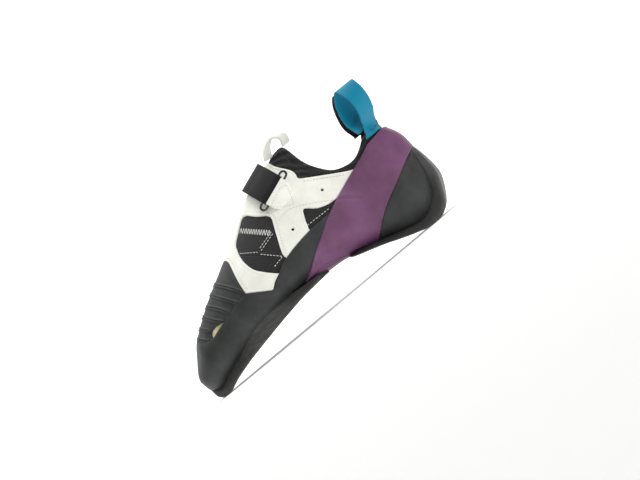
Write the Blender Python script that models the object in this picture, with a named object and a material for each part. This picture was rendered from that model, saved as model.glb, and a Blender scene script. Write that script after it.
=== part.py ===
"""Left climbing shoe: a slip-lasted shoe with a down-turned toe, a coloured tension band round the heel,
one hook-and-loop strap drawn through a wire ring, and webbing pull loops.

The toe points to -X, the outer (lateral) side faces -Y, and the shoe stands on flat spots under toe and heel.
Every layer comes from one function, the form of the last, at its own distance from the upper's outer face.
"""

import math

import bpy
from mathutils import Matrix, Vector

# Driving sizes in metres.
LENGTH = 0.242
INSTEP_HEIGHT = 0.118
BALL_WIDTH = 0.088

UPPER_WALL = 0.0018
OVERLAY_THICKNESS = 0.0013
RAND_THICKNESS = 0.0020
BAND_THICKNESS = 0.0022
PATCH_THICKNESS = 0.0018
INSOLE_THICKNESS = 0.0015
SOLE_DROP = 0.0068
SOLE_EDGE_BEVEL = 0.0012
SOLE_FEATHER = 0.0009

STRAP_WIDTH = 0.024
STRAP_THICKNESS = 0.0015
STRAP_LAYER_GAP = 0.0010
STRAP_LIFT = 0.0004
RING_WIRE_RADIUS = 0.0009
RING_LENGTH = 0.0330
TAB_WIDTH = 0.0225
TAB_THICKNESS = 0.0012
HEEL_LOOP_WIDTH = 0.0170
HEEL_LOOP_THICKNESS = 0.0012
HEEL_LOOP_BULGE = 0.0060
HEEL_LOOP_CLEARANCE = 0.0004
FRONT_LOOP_WIDTH = 0.0095
FRONT_LOOP_THICKNESS = 0.0012

# Free space between two pieces that touch on the real shoe.
GAP = 0.0003

# The form of the upper's outer face, one row for each section from the toe tip to above the ankle.
# A section runs from a point under the foot to a point on top of it. x is a share of LENGTH from the toe,
# z a share of INSTEP_HEIGHT, lateral, ridge and medial are shares of BALL_WIDTH from the middle line,
# widest is the share of the section's height where it is widest, and the last two are how square it is.
FORM_COLUMNS = ("top_x", "top_z", "sole_x", "sole_z", "lateral", "ridge", "medial", "widest", "square_low", "square_high")
FORM = (
    (0.011, 0.178, 0.011, 0.164, 0.145, 0.160, 0.175, 0.50, 2.0, 2.0),
    (0.022, 0.223, 0.021, 0.092, 0.020, 0.165, 0.315, 0.46, 2.3, 2.0),
    (0.044, 0.284, 0.050, 0.060, -0.095, 0.165, 0.395, 0.42, 2.6, 2.0),
    (0.079, 0.375, 0.102, 0.098, -0.215, 0.155, 0.455, 0.38, 2.9, 2.0),
    (0.134, 0.461, 0.169, 0.135, -0.310, 0.130, 0.485, 0.35, 3.1, 2.0),
    (0.202, 0.548, 0.255, 0.170, -0.390, 0.100, 0.500, 0.33, 3.2, 2.0),
    (0.276, 0.629, 0.348, 0.204, -0.445, 0.070, 0.495, 0.31, 3.2, 1.95),
    (0.353, 0.718, 0.440, 0.228, -0.470, 0.042, 0.465, 0.30, 3.0, 1.9),
    (0.427, 0.812, 0.526, 0.216, -0.465, 0.020, 0.420, 0.30, 2.8, 1.85),
    (0.490, 0.886, 0.612, 0.202, -0.440, 0.005, 0.380, 0.31, 2.6, 1.8),
    (0.545, 0.929, 0.698, 0.156, -0.410, -0.005, 0.350, 0.31, 2.6, 1.8),
    (0.591, 0.958, 0.791, 0.089, -0.375, -0.008, 0.328, 0.30, 2.6, 1.75),
    (0.625, 0.982, 0.871, 0.050, -0.345, -0.010, 0.312, 0.30, 2.6, 1.7),
    (0.649, 1.004, 0.932, 0.106, -0.325, -0.010, 0.302, 0.32, 2.6, 1.7),
    (0.668, 1.032, 0.969, 0.253, -0.312, -0.010, 0.292, 0.35, 2.6, 1.75),
    (0.680, 1.065, 0.973, 0.392, -0.303, -0.010, 0.284, 0.37, 2.6, 1.8),
    (0.689, 1.110, 0.969, 0.557, -0.294, -0.008, 0.277, 0.40, 2.5, 1.9),
    (0.696, 1.160, 0.944, 0.684, -0.287, -0.006, 0.272, 0.42, 2.4, 1.95),
    (0.703, 1.215, 0.954, 0.810, -0.282, -0.005, 0.270, 0.42, 2.4, 1.95),
)
# The rows at which every layer has a ring of points: closer together where the form turns, round toe and heel.
STATIONS = (
    *(k / 2 for k in range(0, 7)),
    *range(4, 12),
    *(k / 2 for k in range(23, 33)),
    17, 18,
)
SAMPLES_ROUND = 32

# Side outlines, as shares of LENGTH and INSTEP_HEIGHT. Points beyond the shoe only close the outline.
COLLAR_LINE = (
    (0.600, 1.014), (0.631, 0.996), (0.664, 0.998), (0.675, 0.945), (0.686, 0.850), (0.703, 0.771),
    (0.738, 0.678), (0.775, 0.642), (0.812, 0.636), (0.849, 0.668), (0.880, 0.710), (0.930, 0.750), (1.000, 0.762),
)
BAND_FRONT = (
    (0.430, 0.060), (0.446, 0.224), (0.492, 0.285), (0.531, 0.336), (0.574, 0.385), (0.626, 0.447),
    (0.688, 0.505), (0.739, 0.545), (0.789, 0.583), (0.830, 0.612), (0.874, 0.652),
)
BAND_TOP = ((0.912, 0.664), (0.950, 0.668), (1.040, 0.690))
BAND_REAR = (
    (1.040, 0.462), (0.979, 0.460), (0.956, 0.448), (0.917, 0.408), (0.886, 0.372), (0.847, 0.331),
    (0.804, 0.289), (0.768, 0.244), (0.735, 0.195), (0.708, 0.140), (0.690, 0.020),
)
RAND_TOP = (
    (0.040, 0.470), (0.076, 0.395), (0.097, 0.352), (0.131, 0.333), (0.154, 0.347), (0.186, 0.366),
    (0.244, 0.398), (0.297, 0.421), (0.367, 0.331),
)
RAND_STRIP = ((0.391, 0.366), (0.416, 0.388), (0.449, 0.422), (0.506, 0.450), (0.566, 0.467), (0.610, 0.471), (0.660, 0.472))
PATCH_REAR = ((0.297, 0.415), (0.298, 0.487), (0.306, 0.560), (0.314, 0.625), (0.316, 0.652), (0.302, 0.720))
TOE_WINDOW = ((0.194, 0.371), (0.178, 0.374), (0.160, 0.379), (0.144, 0.374), (0.135, 0.360), (0.128, 0.330), (0.160, 0.340))
OVERLAY_TOP = (
    (0.560, 1.060), (0.601, 0.975), (0.614, 0.915), (0.641, 0.838), (0.646, 0.795), (0.644, 0.764),
    (0.670, 0.728), (0.700, 0.691), (0.767, 0.611), (0.805, 0.575),
)
FRONT_WINDOW = (
    (0.439, 0.804), (0.470, 0.750), (0.503, 0.691), (0.488, 0.606), (0.459, 0.464), (0.462, 0.410), (0.425, 0.372),
    (0.375, 0.465), (0.358, 0.520), (0.352, 0.590), (0.357, 0.655), (0.368, 0.702), (0.398, 0.750),
)
REAR_WINDOW = (
    (0.574, 0.506), (0.585, 0.563), (0.592, 0.592), (0.603, 0.590), (0.630, 0.545), (0.668, 0.519), (0.720, 0.508),
    (0.720, 0.470), (0.640, 0.420), (0.573, 0.440),
)

# Soles: the row of the form, how far the sole's side rises up the section (share of its height), the depth of its
# ground face under the form and how much of that is lost at its edge (shares of SOLE_DROP), and its half width at
# the ground (share of the section's own half width).
SOLE_COLUMNS = ("row", "rise", "drop", "crown", "width")
FOREFOOT_SOLE = (
    (0.45, -0.30, 1.30, 0.40, 0.60),
    (0.7, -0.12, 1.36, 0.28, 0.84),
    (1.0, -0.05, 1.27, 0.16, 0.95),
    (1.5, 0.0, 1.18, 0.08, 0.98),
    (2.0, 0.01, 1.10, 0.05, 0.98),
    (3.0, 0.03, 1.05, 0.05, 0.98),
    (4.0, 0.07, 1.03, 0.05, 0.98),
    (5.0, 0.12, 1.00, 0.05, 0.98),
    (6.0, 0.09, 0.98, 0.05, 0.97),
    (7.0, 0.01, 0.94, 0.05, 0.93),
    (7.5, 0.003, 0.76, 0.05, 0.84),
    (7.85, 0.001, 0.58, 0.05, 0.70),
    (8.05, 0.001, 0.50, 0.04, 0.52),
)
HEEL_SOLE = (
    (8.95, 0.002, 0.66, 0.04, 0.44),
    (9.1, 0.004, 0.78, 0.05, 0.60),
    (9.4, 0.008, 0.88, 0.05, 0.74),
    (10.0, 0.012, 0.94, 0.05, 0.82),
    (11.0, 0.020, 1.06, 0.06, 0.84),
    (12.0, 0.025, 1.12, 0.10, 0.82),
    (12.6, 0.030, 1.16, 0.18, 0.79),
    (13.0, 0.032, 1.20, 0.26, 0.76),
    (13.5, 0.036, 1.24, 0.40, 0.72),
    (14.0, 0.040, 1.34, 0.50, 0.68),
    (14.5, 0.042, 1.36, 0.54, 0.64),
    (15.0, 0.042, 1.22, 0.48, 0.60),
    (15.35, 0.038, 0.98, 0.38, 0.57),
    (15.55, 0.030, 0.78, 0.28, 0.55),
)
# Where the points of a sole section lie between its middle (0) and its edge (1).
SOLE_POINTS = (0.30, 0.60, 0.82, 0.95)

# The strap lies in one plane across the instep: its middle point and the direction of its width, seen from the side.
STRAP_MIDDLE = (0.546, 0.895)
STRAP_SLOPE = 0.36
# Where the strap is sewn on, folds round the ring and ends, and the same for the suede tab that holds the ring.
STRAP_TURNS = (0.690, 0.392, 0.665)
TAB_TURNS = (0.343, 0.3775, 0.346)
STRAP_STEPS = 14
TAB_STEPS = 4

# Side view of the front pull loop's middle line, and how far it leans out of that view at each point (share of BALL_WIDTH).
FRONT_LOOP_PATH = (
    (0.613, 0.984, -0.055), (0.617, 1.008, -0.060), (0.628, 1.043, -0.050), (0.646, 1.073, -0.025),
    (0.667, 1.081, 0.000), (0.687, 1.058, 0.015), (0.691, 1.028, 0.020), (0.684, 0.990, 0.015),
)
FRONT_LOOP_TWIST = math.radians(38.0)

# The heel loops: x and z shares, how far the leg bulges from the collar wall (share of HEEL_LOOP_BULGE) and how much
# the strip is turned to follow the round of the heel, in degrees. The outer leg comes first, then the inner one.
HEEL_LOOP_COLUMNS = ("x", "z", "bulge", "turn")
HEEL_LOOP = (
    (0.913, 0.678, 0.00, 24.0),
    (0.918, 0.730, 0.10, 34.0),
    (0.925, 0.790, 0.35, 40.0),
    (0.932, 0.870, 0.75, 38.0),
    (0.934, 0.950, 0.90, 30.0),
    (0.934, 1.005, 0.65, 22.0),
    (0.935, 1.032, 0.10, 18.0),
    (0.930, 1.022, -0.40, 20.0),
    (0.920, 0.970, -0.85, 26.0),
    (0.910, 0.880, -0.95, 32.0),
    (0.905, 0.800, -0.60, 34.0),
    (0.903, 0.735, -0.15, 26.0),
)
MEDIAL_LOOP_SHIFT = -0.007
# The collar's edge beside the loops. Below it a leg follows the wall, above the second height it hangs free.
HEEL_LOOP_EDGE = (0.918, 0.740)
HEEL_LOOP_FREE = 0.810

COLOURS = {
    "black_textile": ((0.018, 0.018, 0.019), 0.85, 0.0),
    "off_white_suede": ((0.72, 0.71, 0.62), 0.80, 0.0),
    "black_rubber": ((0.040, 0.042, 0.041), 0.60, 0.0),
    "purple_rubber": ((0.200, 0.090, 0.200), 0.55, 0.0),
    "sole_rubber": ((0.045, 0.043, 0.040), 0.50, 0.0),
    "black_webbing": ((0.020, 0.020, 0.021), 0.75, 0.0),
    "teal_webbing": ((0.010, 0.260, 0.360), 0.60, 0.0),
    "ring_wire": ((0.050, 0.050, 0.052), 0.25, 0.9),
    "insole_felt": ((0.300, 0.290, 0.250), 0.90, 0.0),
}


def clear_scene():
    for old in list(bpy.data.objects):
        bpy.data.objects.remove(old)


def material(name):
    found = bpy.data.materials.get(name)
    if found:
        return found
    colour, roughness, metallic = COLOURS[name]
    made = bpy.data.materials.new(name)
    made.use_nodes = True
    shader = made.node_tree.nodes["Principled BSDF"]
    shader.inputs["Base Color"].default_value = (*colour, 1.0)
    shader.inputs["Roughness"].default_value = roughness
    shader.inputs["Metallic"].default_value = metallic
    return made


def make_object(name, vertices, faces, material_name=None):
    """A mesh object; without a material it is a cutter, which is never part of the shoe."""
    mesh = bpy.data.meshes.new(name)
    mesh.from_pydata([tuple(v) for v in vertices], [], faces)
    mesh.update()
    made = bpy.data.objects.new(name, mesh)
    bpy.context.collection.objects.link(made)
    if material_name:
        mesh.materials.append(material(material_name))
    else:
        made.hide_render = True
        made.display_type = "WIRE"
    return made


def along(rows, at):
    """The smooth (Catmull-Rom) value of a table of rows at a row number with a fraction."""
    at = min(max(at, 0.0), len(rows) - 1.0)
    low = min(int(at), len(rows) - 2)
    t = at - low
    a, b, c, d = (rows[min(max(low + k, 0), len(rows) - 1)] for k in (-1, 0, 1, 2))
    return [
        0.5 * (2 * q + (r - p) * t + (2 * p - 5 * q + 4 * r - s) * t * t + (3 * q - p - 3 * r + s) * t ** 3)
        for p, q, r, s in zip(a, b, c, d)
    ]


def side_point(x_share, z_share, y=0.0):
    """A point given by its place in the side view."""
    return Vector(((x_share - 0.5) * LENGTH, y, z_share * INSTEP_HEIGHT))


def section(row):
    return dict(zip(FORM_COLUMNS, along(FORM, row)))


def form_point(row, turn):
    """A point on the upper's outer face. turn is 0 under the foot, 0.25 lateral, 0.5 on top and 0.75 medial."""
    part = section(row)
    angle = 2 * math.pi * turn - math.pi / 2
    across, up = math.cos(angle), math.sin(angle)
    square = part["square_high"] if up > 0 else part["square_low"]
    spread = abs(across) ** (2 / square)
    lift = abs(up) ** (2 / square)
    edge = part["lateral"] if across > 0 else part["medial"]
    widest = part["widest"]
    height = widest + (1 - widest) * lift if up > 0 else widest * (1 - lift)
    y = BALL_WIDTH * (part["ridge"] + (edge - part["ridge"]) * spread)
    low = side_point(part["sole_x"], part["sole_z"], y)
    high = side_point(part["top_x"], part["top_z"], y)
    return low.lerp(high, height)


def spread_at(part, height):
    """How wide a section is at a share of its height, as a share of its half width."""
    widest = part["widest"]
    if height > widest:
        lift, square = (height - widest) / (1 - widest), part["square_high"]
    else:
        lift, square = 1 - height / widest, part["square_low"]
    return (1 - lift ** square) ** (1 / square)


def form_normal(row, turn):
    row_step, turn_step = 0.06, 0.006
    last = len(FORM) - 1
    forward = form_point(min(row + row_step, last), turn) - form_point(max(row - row_step, 0.0), turn)
    round_it = form_point(row, (turn + turn_step) % 1.0) - form_point(row, (turn - turn_step) % 1.0)
    return forward.cross(round_it).normalized()


def skin_point(row, turn, distance):
    """A point at a distance outside (or, below zero, inside) the upper's outer face."""
    return form_point(row, turn) + form_normal(row, turn) * distance


def stations(first, last):
    return [row for row in STATIONS if first <= row <= last]


def skin_rings(first, last, distance):
    """Rings of points round the form. All layers share their stations, so their facets run parallel."""
    turns = [k / SAMPLES_ROUND for k in range(SAMPLES_ROUND)]
    return [[skin_point(row, turn, distance) for turn in turns] for row in stations(first, last)]


def ring_faces(start, rings, count, flip=False):
    """Triangles between rings of count points, the first of which begins at vertex start."""
    faces = []
    for ring in range(rings - 1):
        for k in range(count):
            a = start + ring * count + k
            b = start + ring * count + (k + 1) % count
            c, d = b + count, a + count
            faces += [(a, d, c), (a, c, b)]
    return [face[::-1] for face in faces] if flip else faces


def closed_form(name, distance):
    """The whole form as a filled solid, used only to hollow the soles."""
    rings = skin_rings(0, len(FORM) - 1, distance)
    count = SAMPLES_ROUND
    vertices = [point for ring in rings for point in ring]
    faces = ring_faces(0, len(rings), count)
    faces.append(tuple(range(count)))
    faces.append(tuple(range(len(vertices) - 1, len(vertices) - 1 - count, -1)))
    return make_object(name, vertices, faces)


def skin_shell(name, first, last, inner, outer, material_name):
    """A layer between two distances from the form. It closes round the toe if it starts at row 0."""
    outside = skin_rings(first, last, outer)
    inside = skin_rings(first, last, inner)
    count, rings = SAMPLES_ROUND, len(outside)
    vertices = [point for ring in outside + inside for point in ring]
    depth = rings * count
    faces = ring_faces(0, rings, count) + ring_faces(depth, rings, count, flip=True)
    for k in range(count):
        following = (k + 1) % count
        end = (rings - 1) * count
        faces.append((end + k, depth + end + k, depth + end + following, end + following))
        if first > 0:
            faces.append((k, following, depth + following, depth + k))
    if first == 0:
        faces.append(tuple(range(count)))
        faces.append(tuple(range(depth + count - 1, depth - 1, -1)))
    return make_object(name, vertices, faces, material_name)


def smooth_outline(points, steps=3):
    """An open line of side-view shares as a smooth list of side-view points in metres."""
    line = [along(points, k / steps) for k in range((len(points) - 1) * steps + 1)]
    return [(side_point(x, z).x, side_point(x, z).z) for x, z in line]


def plain_outline(points):
    return [(side_point(x, z).x, side_point(x, z).z) for x, z in points]


def grown(outline, by):
    """A side outline moved outwards by a distance, so that a neighbour cut by it keeps a gap."""
    area = sum(a[0] * b[1] - b[0] * a[1] for a, b in zip(outline, outline[1:] + outline[:1]))
    sign = 1 if area > 0 else -1
    moved = []
    for k, here in enumerate(outline):
        before = Vector(outline[k - 1])
        after = Vector(outline[(k + 1) % len(outline)])
        run = (after - before).normalized()
        moved.append((here[0] + sign * run.y * by, here[1] - sign * run.x * by))
    return moved


def prism(name, outline):
    """A cutter: a side outline carried right through the shoe."""
    reach = BALL_WIDTH * 1.5
    area = sum(a[0] * b[1] - b[0] * a[1] for a, b in zip(outline, outline[1:] + outline[:1]))
    ring = outline if area > 0 else outline[::-1]
    count = len(ring)
    vertices = [Vector((x, -reach, z)) for x, z in ring] + [Vector((x, reach, z)) for x, z in ring]
    faces = [tuple(range(count)), tuple(range(2 * count - 1, count - 1, -1))]
    faces += [(k, k + count, (k + 1) % count + count, (k + 1) % count) for k in range(count)]
    return make_object(name, vertices, faces)


def cut(target, cutter, operation="DIFFERENCE"):
    change = target.modifiers.new(cutter.name, "BOOLEAN")
    change.operation = operation
    change.solver = "EXACT"
    change.object = cutter


BELOW = -0.15
BEYOND = 0.15


def band_outline():
    return smooth_outline(BAND_FRONT) + plain_outline(BAND_TOP) + smooth_outline(BAND_REAR) + plain_outline(((0.69, BELOW), (0.43, BELOW)))


def rand_outline():
    under = ((0.72, 0.45), (0.60, BELOW), (-BEYOND, BELOW), (-BEYOND, 0.47))
    return smooth_outline(RAND_TOP[:8]) + plain_outline(RAND_TOP[8:]) + smooth_outline(RAND_STRIP) + plain_outline(under)


def patch_outline():
    under = ((0.302, 1.0), (-BEYOND, 1.0), (-BEYOND, 0.2), (0.2, 0.2))
    return smooth_outline(PATCH_REAR) + plain_outline(under)


def overlay_outline():
    under = ((0.805, 0.40), (0.25, 0.20), (0.20, 0.60), (0.20, 1.06))
    return smooth_outline(OVERLAY_TOP) + plain_outline(under)


def heel_outline():
    return plain_outline(((0.62, BELOW), (0.66, 0.25), (0.80, 0.42), (0.95, 0.56), (1.2, 0.56), (1.2, BELOW)))


def build_upper():
    """The stretch bootie, one hollow wall closed under the foot and open at the collar."""
    upper = skin_shell("upper", 0, len(FORM) - 1, -UPPER_WALL, 0.0, "black_textile")
    above = plain_outline(((1.2, 0.78), (1.2, 1.6), (0.45, 1.6), (0.45, 1.1)))
    cut(upper, prism("collar_cutter", smooth_outline(COLLAR_LINE) + above))


def build_insole():
    """The footbed inside the upper, along the underside of the foot."""
    half = 5
    turns = [k / SAMPLES_ROUND for k in range(-half, half + 1)]
    rows = range(2, 14)
    top = -UPPER_WALL - GAP - INSOLE_THICKNESS
    bottom = -UPPER_WALL - GAP
    layers = [[skin_point(row, turn % 1.0, d) for row in rows for turn in turns] for d in (bottom, top)]
    width, length = len(turns), len(rows)
    depth = width * length
    faces = []
    for r in range(length - 1):
        for k in range(width - 1):
            a = r * width + k
            faces += [(a, a + width, a + width + 1), (a, a + width + 1, a + 1)]
            b = a + depth
            faces += [(b, b + width + 1, b + width), (b, b + 1, b + width + 1)]
    edge = [k for k in range(width)]
    edge += [r * width + width - 1 for r in range(1, length)]
    edge += [(length - 1) * width + k for k in range(width - 2, -1, -1)]
    edge += [r * width for r in range(length - 2, 0, -1)]
    for a, b in zip(edge, edge[1:] + edge[:1]):
        faces.append((a, b, b + depth, a + depth))
    make_object("insole", layers[0] + layers[1], faces, "insole_felt")


def build_overlays():
    """The layers glued to the upper: tension band, rand, toe patch, suede overlay and heel cup."""
    last = 18
    band_hole = grown(band_outline(), GAP)
    rand_hole = grown(rand_outline(), GAP)

    band = skin_shell("tension_band", 7, last, GAP, GAP + BAND_THICKNESS, "purple_rubber")
    cut(band, prism("band_cutter", band_outline()), "INTERSECT")

    rand = skin_shell("toe_rand", 0, 13, GAP, GAP + RAND_THICKNESS, "black_rubber")
    cut(rand, prism("rand_cutter", rand_outline()), "INTERSECT")
    cut(rand, prism("rand_band_gap", band_hole))

    patch = skin_shell("toe_patch", 0, 8, GAP, GAP + PATCH_THICKNESS, "black_rubber")
    cut(patch, prism("patch_cutter", patch_outline()), "INTERSECT")
    cut(patch, prism("patch_rand_gap", rand_hole))
    cut(patch, prism("toe_window_cutter", plain_outline(TOE_WINDOW)))

    overlay = skin_shell("suede_overlay", 3, 15, GAP, GAP + OVERLAY_THICKNESS, "off_white_suede")
    cut(overlay, prism("overlay_cutter", overlay_outline()), "INTERSECT")
    cut(overlay, prism("overlay_rand_gap", rand_hole))
    cut(overlay, prism("overlay_band_gap", band_hole))
    cut(overlay, prism("overlay_patch_gap", grown(patch_outline(), GAP)))
    cut(overlay, prism("front_window_cutter", plain_outline(FRONT_WINDOW)))
    cut(overlay, prism("rear_window_cutter", plain_outline(REAR_WINDOW)))

    heel = skin_shell("heel_cup", 9, last, GAP, GAP + RAND_THICKNESS, "black_rubber")
    cut(heel, prism("heel_cutter", heel_outline()), "INTERSECT")
    cut(heel, prism("heel_band_gap", band_hole))


def sole_section(row, rise, drop, crown, width):
    """Points of a sole block across the foot, from the lateral top edge under the foot to the medial one."""
    part = section(row)
    low = side_point(part["sole_x"], part["sole_z"])
    high = side_point(part["top_x"], part["top_z"])
    tall = (high - low).length
    cover = GAP + max(RAND_THICKNESS, BAND_THICKNESS) + GAP
    points = []
    for edge, sign in ((part["lateral"], -1), (part["medial"], 1)):
        half = abs(edge - part["ridge"]) * BALL_WIDTH
        middle = part["ridge"] * BALL_WIDTH
        side = half * width + cover
        top = half * spread_at(part, rise) + cover + SOLE_FEATHER if rise > 0 else side
        edge_depth = -(drop - crown) * SOLE_DROP + SOLE_EDGE_BEVEL
        row_points = [(middle + sign * top, rise), (middle + sign * side, edge_depth / tall)]
        for share in reversed(SOLE_POINTS):
            depth = -(drop - crown * share ** 2.5) * SOLE_DROP
            row_points.append((middle + sign * side * share, depth / tall))
        points += row_points if sign < 0 else row_points[::-1]
    return [low.lerp(high, share) + Vector((0.0, y, 0.0)) for y, share in points]


def build_sole(name, table):
    """A sole block lofted under the form and hollowed by it, with its flat spot ground off."""
    sections = [sole_section(*row) for row in table]
    count = len(sections[0])
    vertices = [point for points in sections for point in points]
    faces = ring_faces(0, len(sections), count)
    faces.append(tuple(range(count)))
    faces.append(tuple(range(len(vertices) - 1, len(vertices) - 1 - count, -1)))
    sole = make_object(name, vertices, faces, "sole_rubber")
    cut(sole, bpy.data.objects["sole_hollow"])
    cut(sole, bpy.data.objects["ground"])


def build_soles():
    cover = GAP + max(RAND_THICKNESS, BAND_THICKNESS) + GAP
    closed_form("sole_hollow", cover)
    reach = LENGTH
    corners = [(-reach, -reach), (reach, -reach), (reach, reach), (-reach, reach)]
    vertices = [Vector((x, y, z)) for z in (-reach, 0.0) for x, y in corners]
    faces = [(3, 2, 1, 0), (4, 5, 6, 7), (0, 1, 5, 4), (1, 2, 6, 5), (2, 3, 7, 6), (3, 0, 4, 7)]
    make_object("ground", vertices, faces)
    build_sole("forefoot_sole", FOREFOOT_SOLE)
    build_sole("heel_sole", HEEL_SOLE)


def sheet(name, rows, thickness, material_name):
    """A strip of webbing or suede given by rows of points across its middle surface, thickened both ways."""
    count = len(rows[0])
    faces = []
    for r in range(len(rows) - 1):
        for k in range(count - 1):
            a = r * count + k
            faces.append((a, a + 1, a + count + 1, a + count))
    made = make_object(name, [point for row in rows for point in row], faces, material_name)
    wall = made.modifiers.new("thickness", "SOLIDIFY")
    wall.thickness = thickness
    wall.offset = 0.0
    wall.use_even_offset = True
    made.modifiers.new("triangles", "TRIANGULATE")


def strap_frame():
    """The direction of the strap's width, seen from the side."""
    return Vector((1.0, 0.0, STRAP_SLOPE)).normalized()


def across_instep(turn, offset):
    """The row of the form that the strap's plane, moved sideways by an offset, crosses at a turn."""
    across = strap_frame()
    middle = side_point(*STRAP_MIDDLE) + across * offset
    low, high = 4.0, 15.0
    for _ in range(24):
        row = (low + high) / 2
        if (form_point(row, turn) - middle).dot(across) < 0:
            low = row
        else:
            high = row
    return row


def strap_contact(turn, distance, width):
    """The middle of a straight line across a strip that clears the form by a distance at a turn."""
    across = strap_frame()
    row = across_instep(turn, 0.0)
    out = form_normal(row, turn)
    out = (out - across * out.dot(across)).normalized()
    point = form_point(row, turn) + out * distance
    rise = 0.0
    for offset in (-width / 2, -width / 4, width / 4, width / 2):
        beside = skin_point(across_instep(turn, offset), turn, distance)
        rise = max(rise, (beside - point - across * offset).dot(out))
    return point + out * rise, out


def folded_strip(name, turns, heights, steps, width, thickness, material_name):
    """A strip that lies on the instep, folds round a ring's bar and lies back over itself. Returns the fold's centre.

    turns holds where it starts, folds and ends, and heights the middle of its lower and its upper layer.
    """
    across = strap_frame()
    start, fold, end = turns
    lower, upper = heights
    spread = 2 * (RING_WIRE_RADIUS + 1.5 * GAP) + thickness
    middle = []
    for k in range(steps + 1):
        point, lift = strap_contact(start + (fold - start) * k / steps, lower, width)
        middle.append(point)
    centre = middle[-1] + lift * (spread / 2)
    ahead = (middle[-1] - middle[-2]).normalized()
    ahead = (ahead - lift * ahead.dot(lift)).normalized()
    for k in range(1, 6):
        angle = math.pi * k / 6
        middle.append(centre + (ahead * math.sin(angle) - lift * math.cos(angle)) * (spread / 2))
    for k in range(steps + 1):
        ease = max(0.0, 1 - (k / 3) ** 2)
        height = upper + (lower + spread - upper) * ease
        point, _ = strap_contact(fold + (end - fold) * k / steps, height, width)
        middle.append(point)
    rows = [[point - across * (width / 2), point + across * (width / 2)] for point in middle]
    sheet(name, rows, thickness, material_name)
    return centre


def build_strap_and_ring():
    """The strap, the suede tab on the outer side, and between their folds the wire ring."""
    suede = GAP + OVERLAY_THICKNESS + GAP
    lower = suede + STRAP_THICKNESS / 2 + STRAP_LIFT
    heights = (lower, lower + STRAP_THICKNESS + STRAP_LAYER_GAP)
    near = folded_strip("strap", STRAP_TURNS, heights, STRAP_STEPS, STRAP_WIDTH, STRAP_THICKNESS, "black_webbing")
    lower = suede + TAB_THICKNESS / 2
    heights = (lower, lower + TAB_THICKNESS + GAP)
    far = folded_strip("ring_tab", TAB_TURNS, heights, TAB_STEPS, TAB_WIDTH, TAB_THICKNESS, "off_white_suede")

    across = strap_frame()
    middle = (near + far) / 2
    reach = far - near
    reach -= across * reach.dot(across)
    corner = reach.length / 2
    around = reach.normalized()
    run = RING_LENGTH / 2 - corner
    path = []
    for sign, start in ((1, -math.pi / 2), (-1, math.pi / 2)):
        for k in range(7):
            angle = start + math.pi * k / 6
            path.append(middle + across * (sign * run + corner * math.cos(angle)) + around * corner * math.sin(angle))
    curve = bpy.data.curves.new("strap_ring", "CURVE")
    curve.dimensions = "3D"
    curve.bevel_depth = RING_WIRE_RADIUS
    curve.bevel_resolution = 1
    line = curve.splines.new("POLY")
    line.points.add(len(path) - 1)
    for point, place in zip(line.points, path):
        point.co = (*place, 1.0)
    line.use_cyclic_u = True
    curve.materials.append(material("ring_wire"))
    made = bpy.data.objects.new("strap_ring", curve)
    bpy.context.collection.objects.link(made)


def build_front_loop():
    """The suede pull loop on top of the tongue."""
    steps = 2
    width = Vector((math.sin(FRONT_LOOP_TWIST), math.cos(FRONT_LOOP_TWIST), 0.0)) * (FRONT_LOOP_WIDTH / 2)
    rows = []
    for k in range((len(FRONT_LOOP_PATH) - 1) * steps + 1):
        x, z, y = along(FRONT_LOOP_PATH, k / steps)
        point = side_point(x, z, y * BALL_WIDTH)
        rows.append([point - width, point + width])
    sheet("front_pull_loop", rows, FRONT_LOOP_THICKNESS, "off_white_suede")


def collar_curve(z_share, side):
    """The upper's outer face at one height, from the ankle's side to the middle of the back. side is -1 for lateral."""
    points = []
    for k in range(81):
        part = section(13 + k / 16)
        height = (z_share - part["sole_z"]) / (part["top_z"] - part["sole_z"])
        if height < 0:
            break
        edge = part["lateral"] if side < 0 else part["medial"]
        y = BALL_WIDTH * (part["ridge"] + (edge - part["ridge"]) * spread_at(part, height))
        x = part["sole_x"] + (part["top_x"] - part["sole_x"]) * height
        points.append(side_point(x, z_share, y))
    return points


def on_collar(z_share, side, x_share, reach, distance):
    """A point on the collar at a reach round it from a side-view place, moved outwards by a distance."""
    curve = collar_curve(z_share, side)
    lengths = [0.0]
    for a, b in zip(curve, curve[1:]):
        lengths.append(lengths[-1] + (b - a).length)
    start = side_point(x_share, z_share).x
    k = min(range(len(curve)), key=lambda i: abs(curve[i].x - start))
    goal = lengths[k] + reach
    n = max(i for i in range(len(curve) - 1) if lengths[i] <= goal)
    share = (goal - lengths[n]) / (lengths[n + 1] - lengths[n])
    run = (curve[n + 1] - curve[n]).normalized()
    return curve[n].lerp(curve[n + 1], share) + Vector((-run.y, run.x, 0.0)) * distance * side


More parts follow.
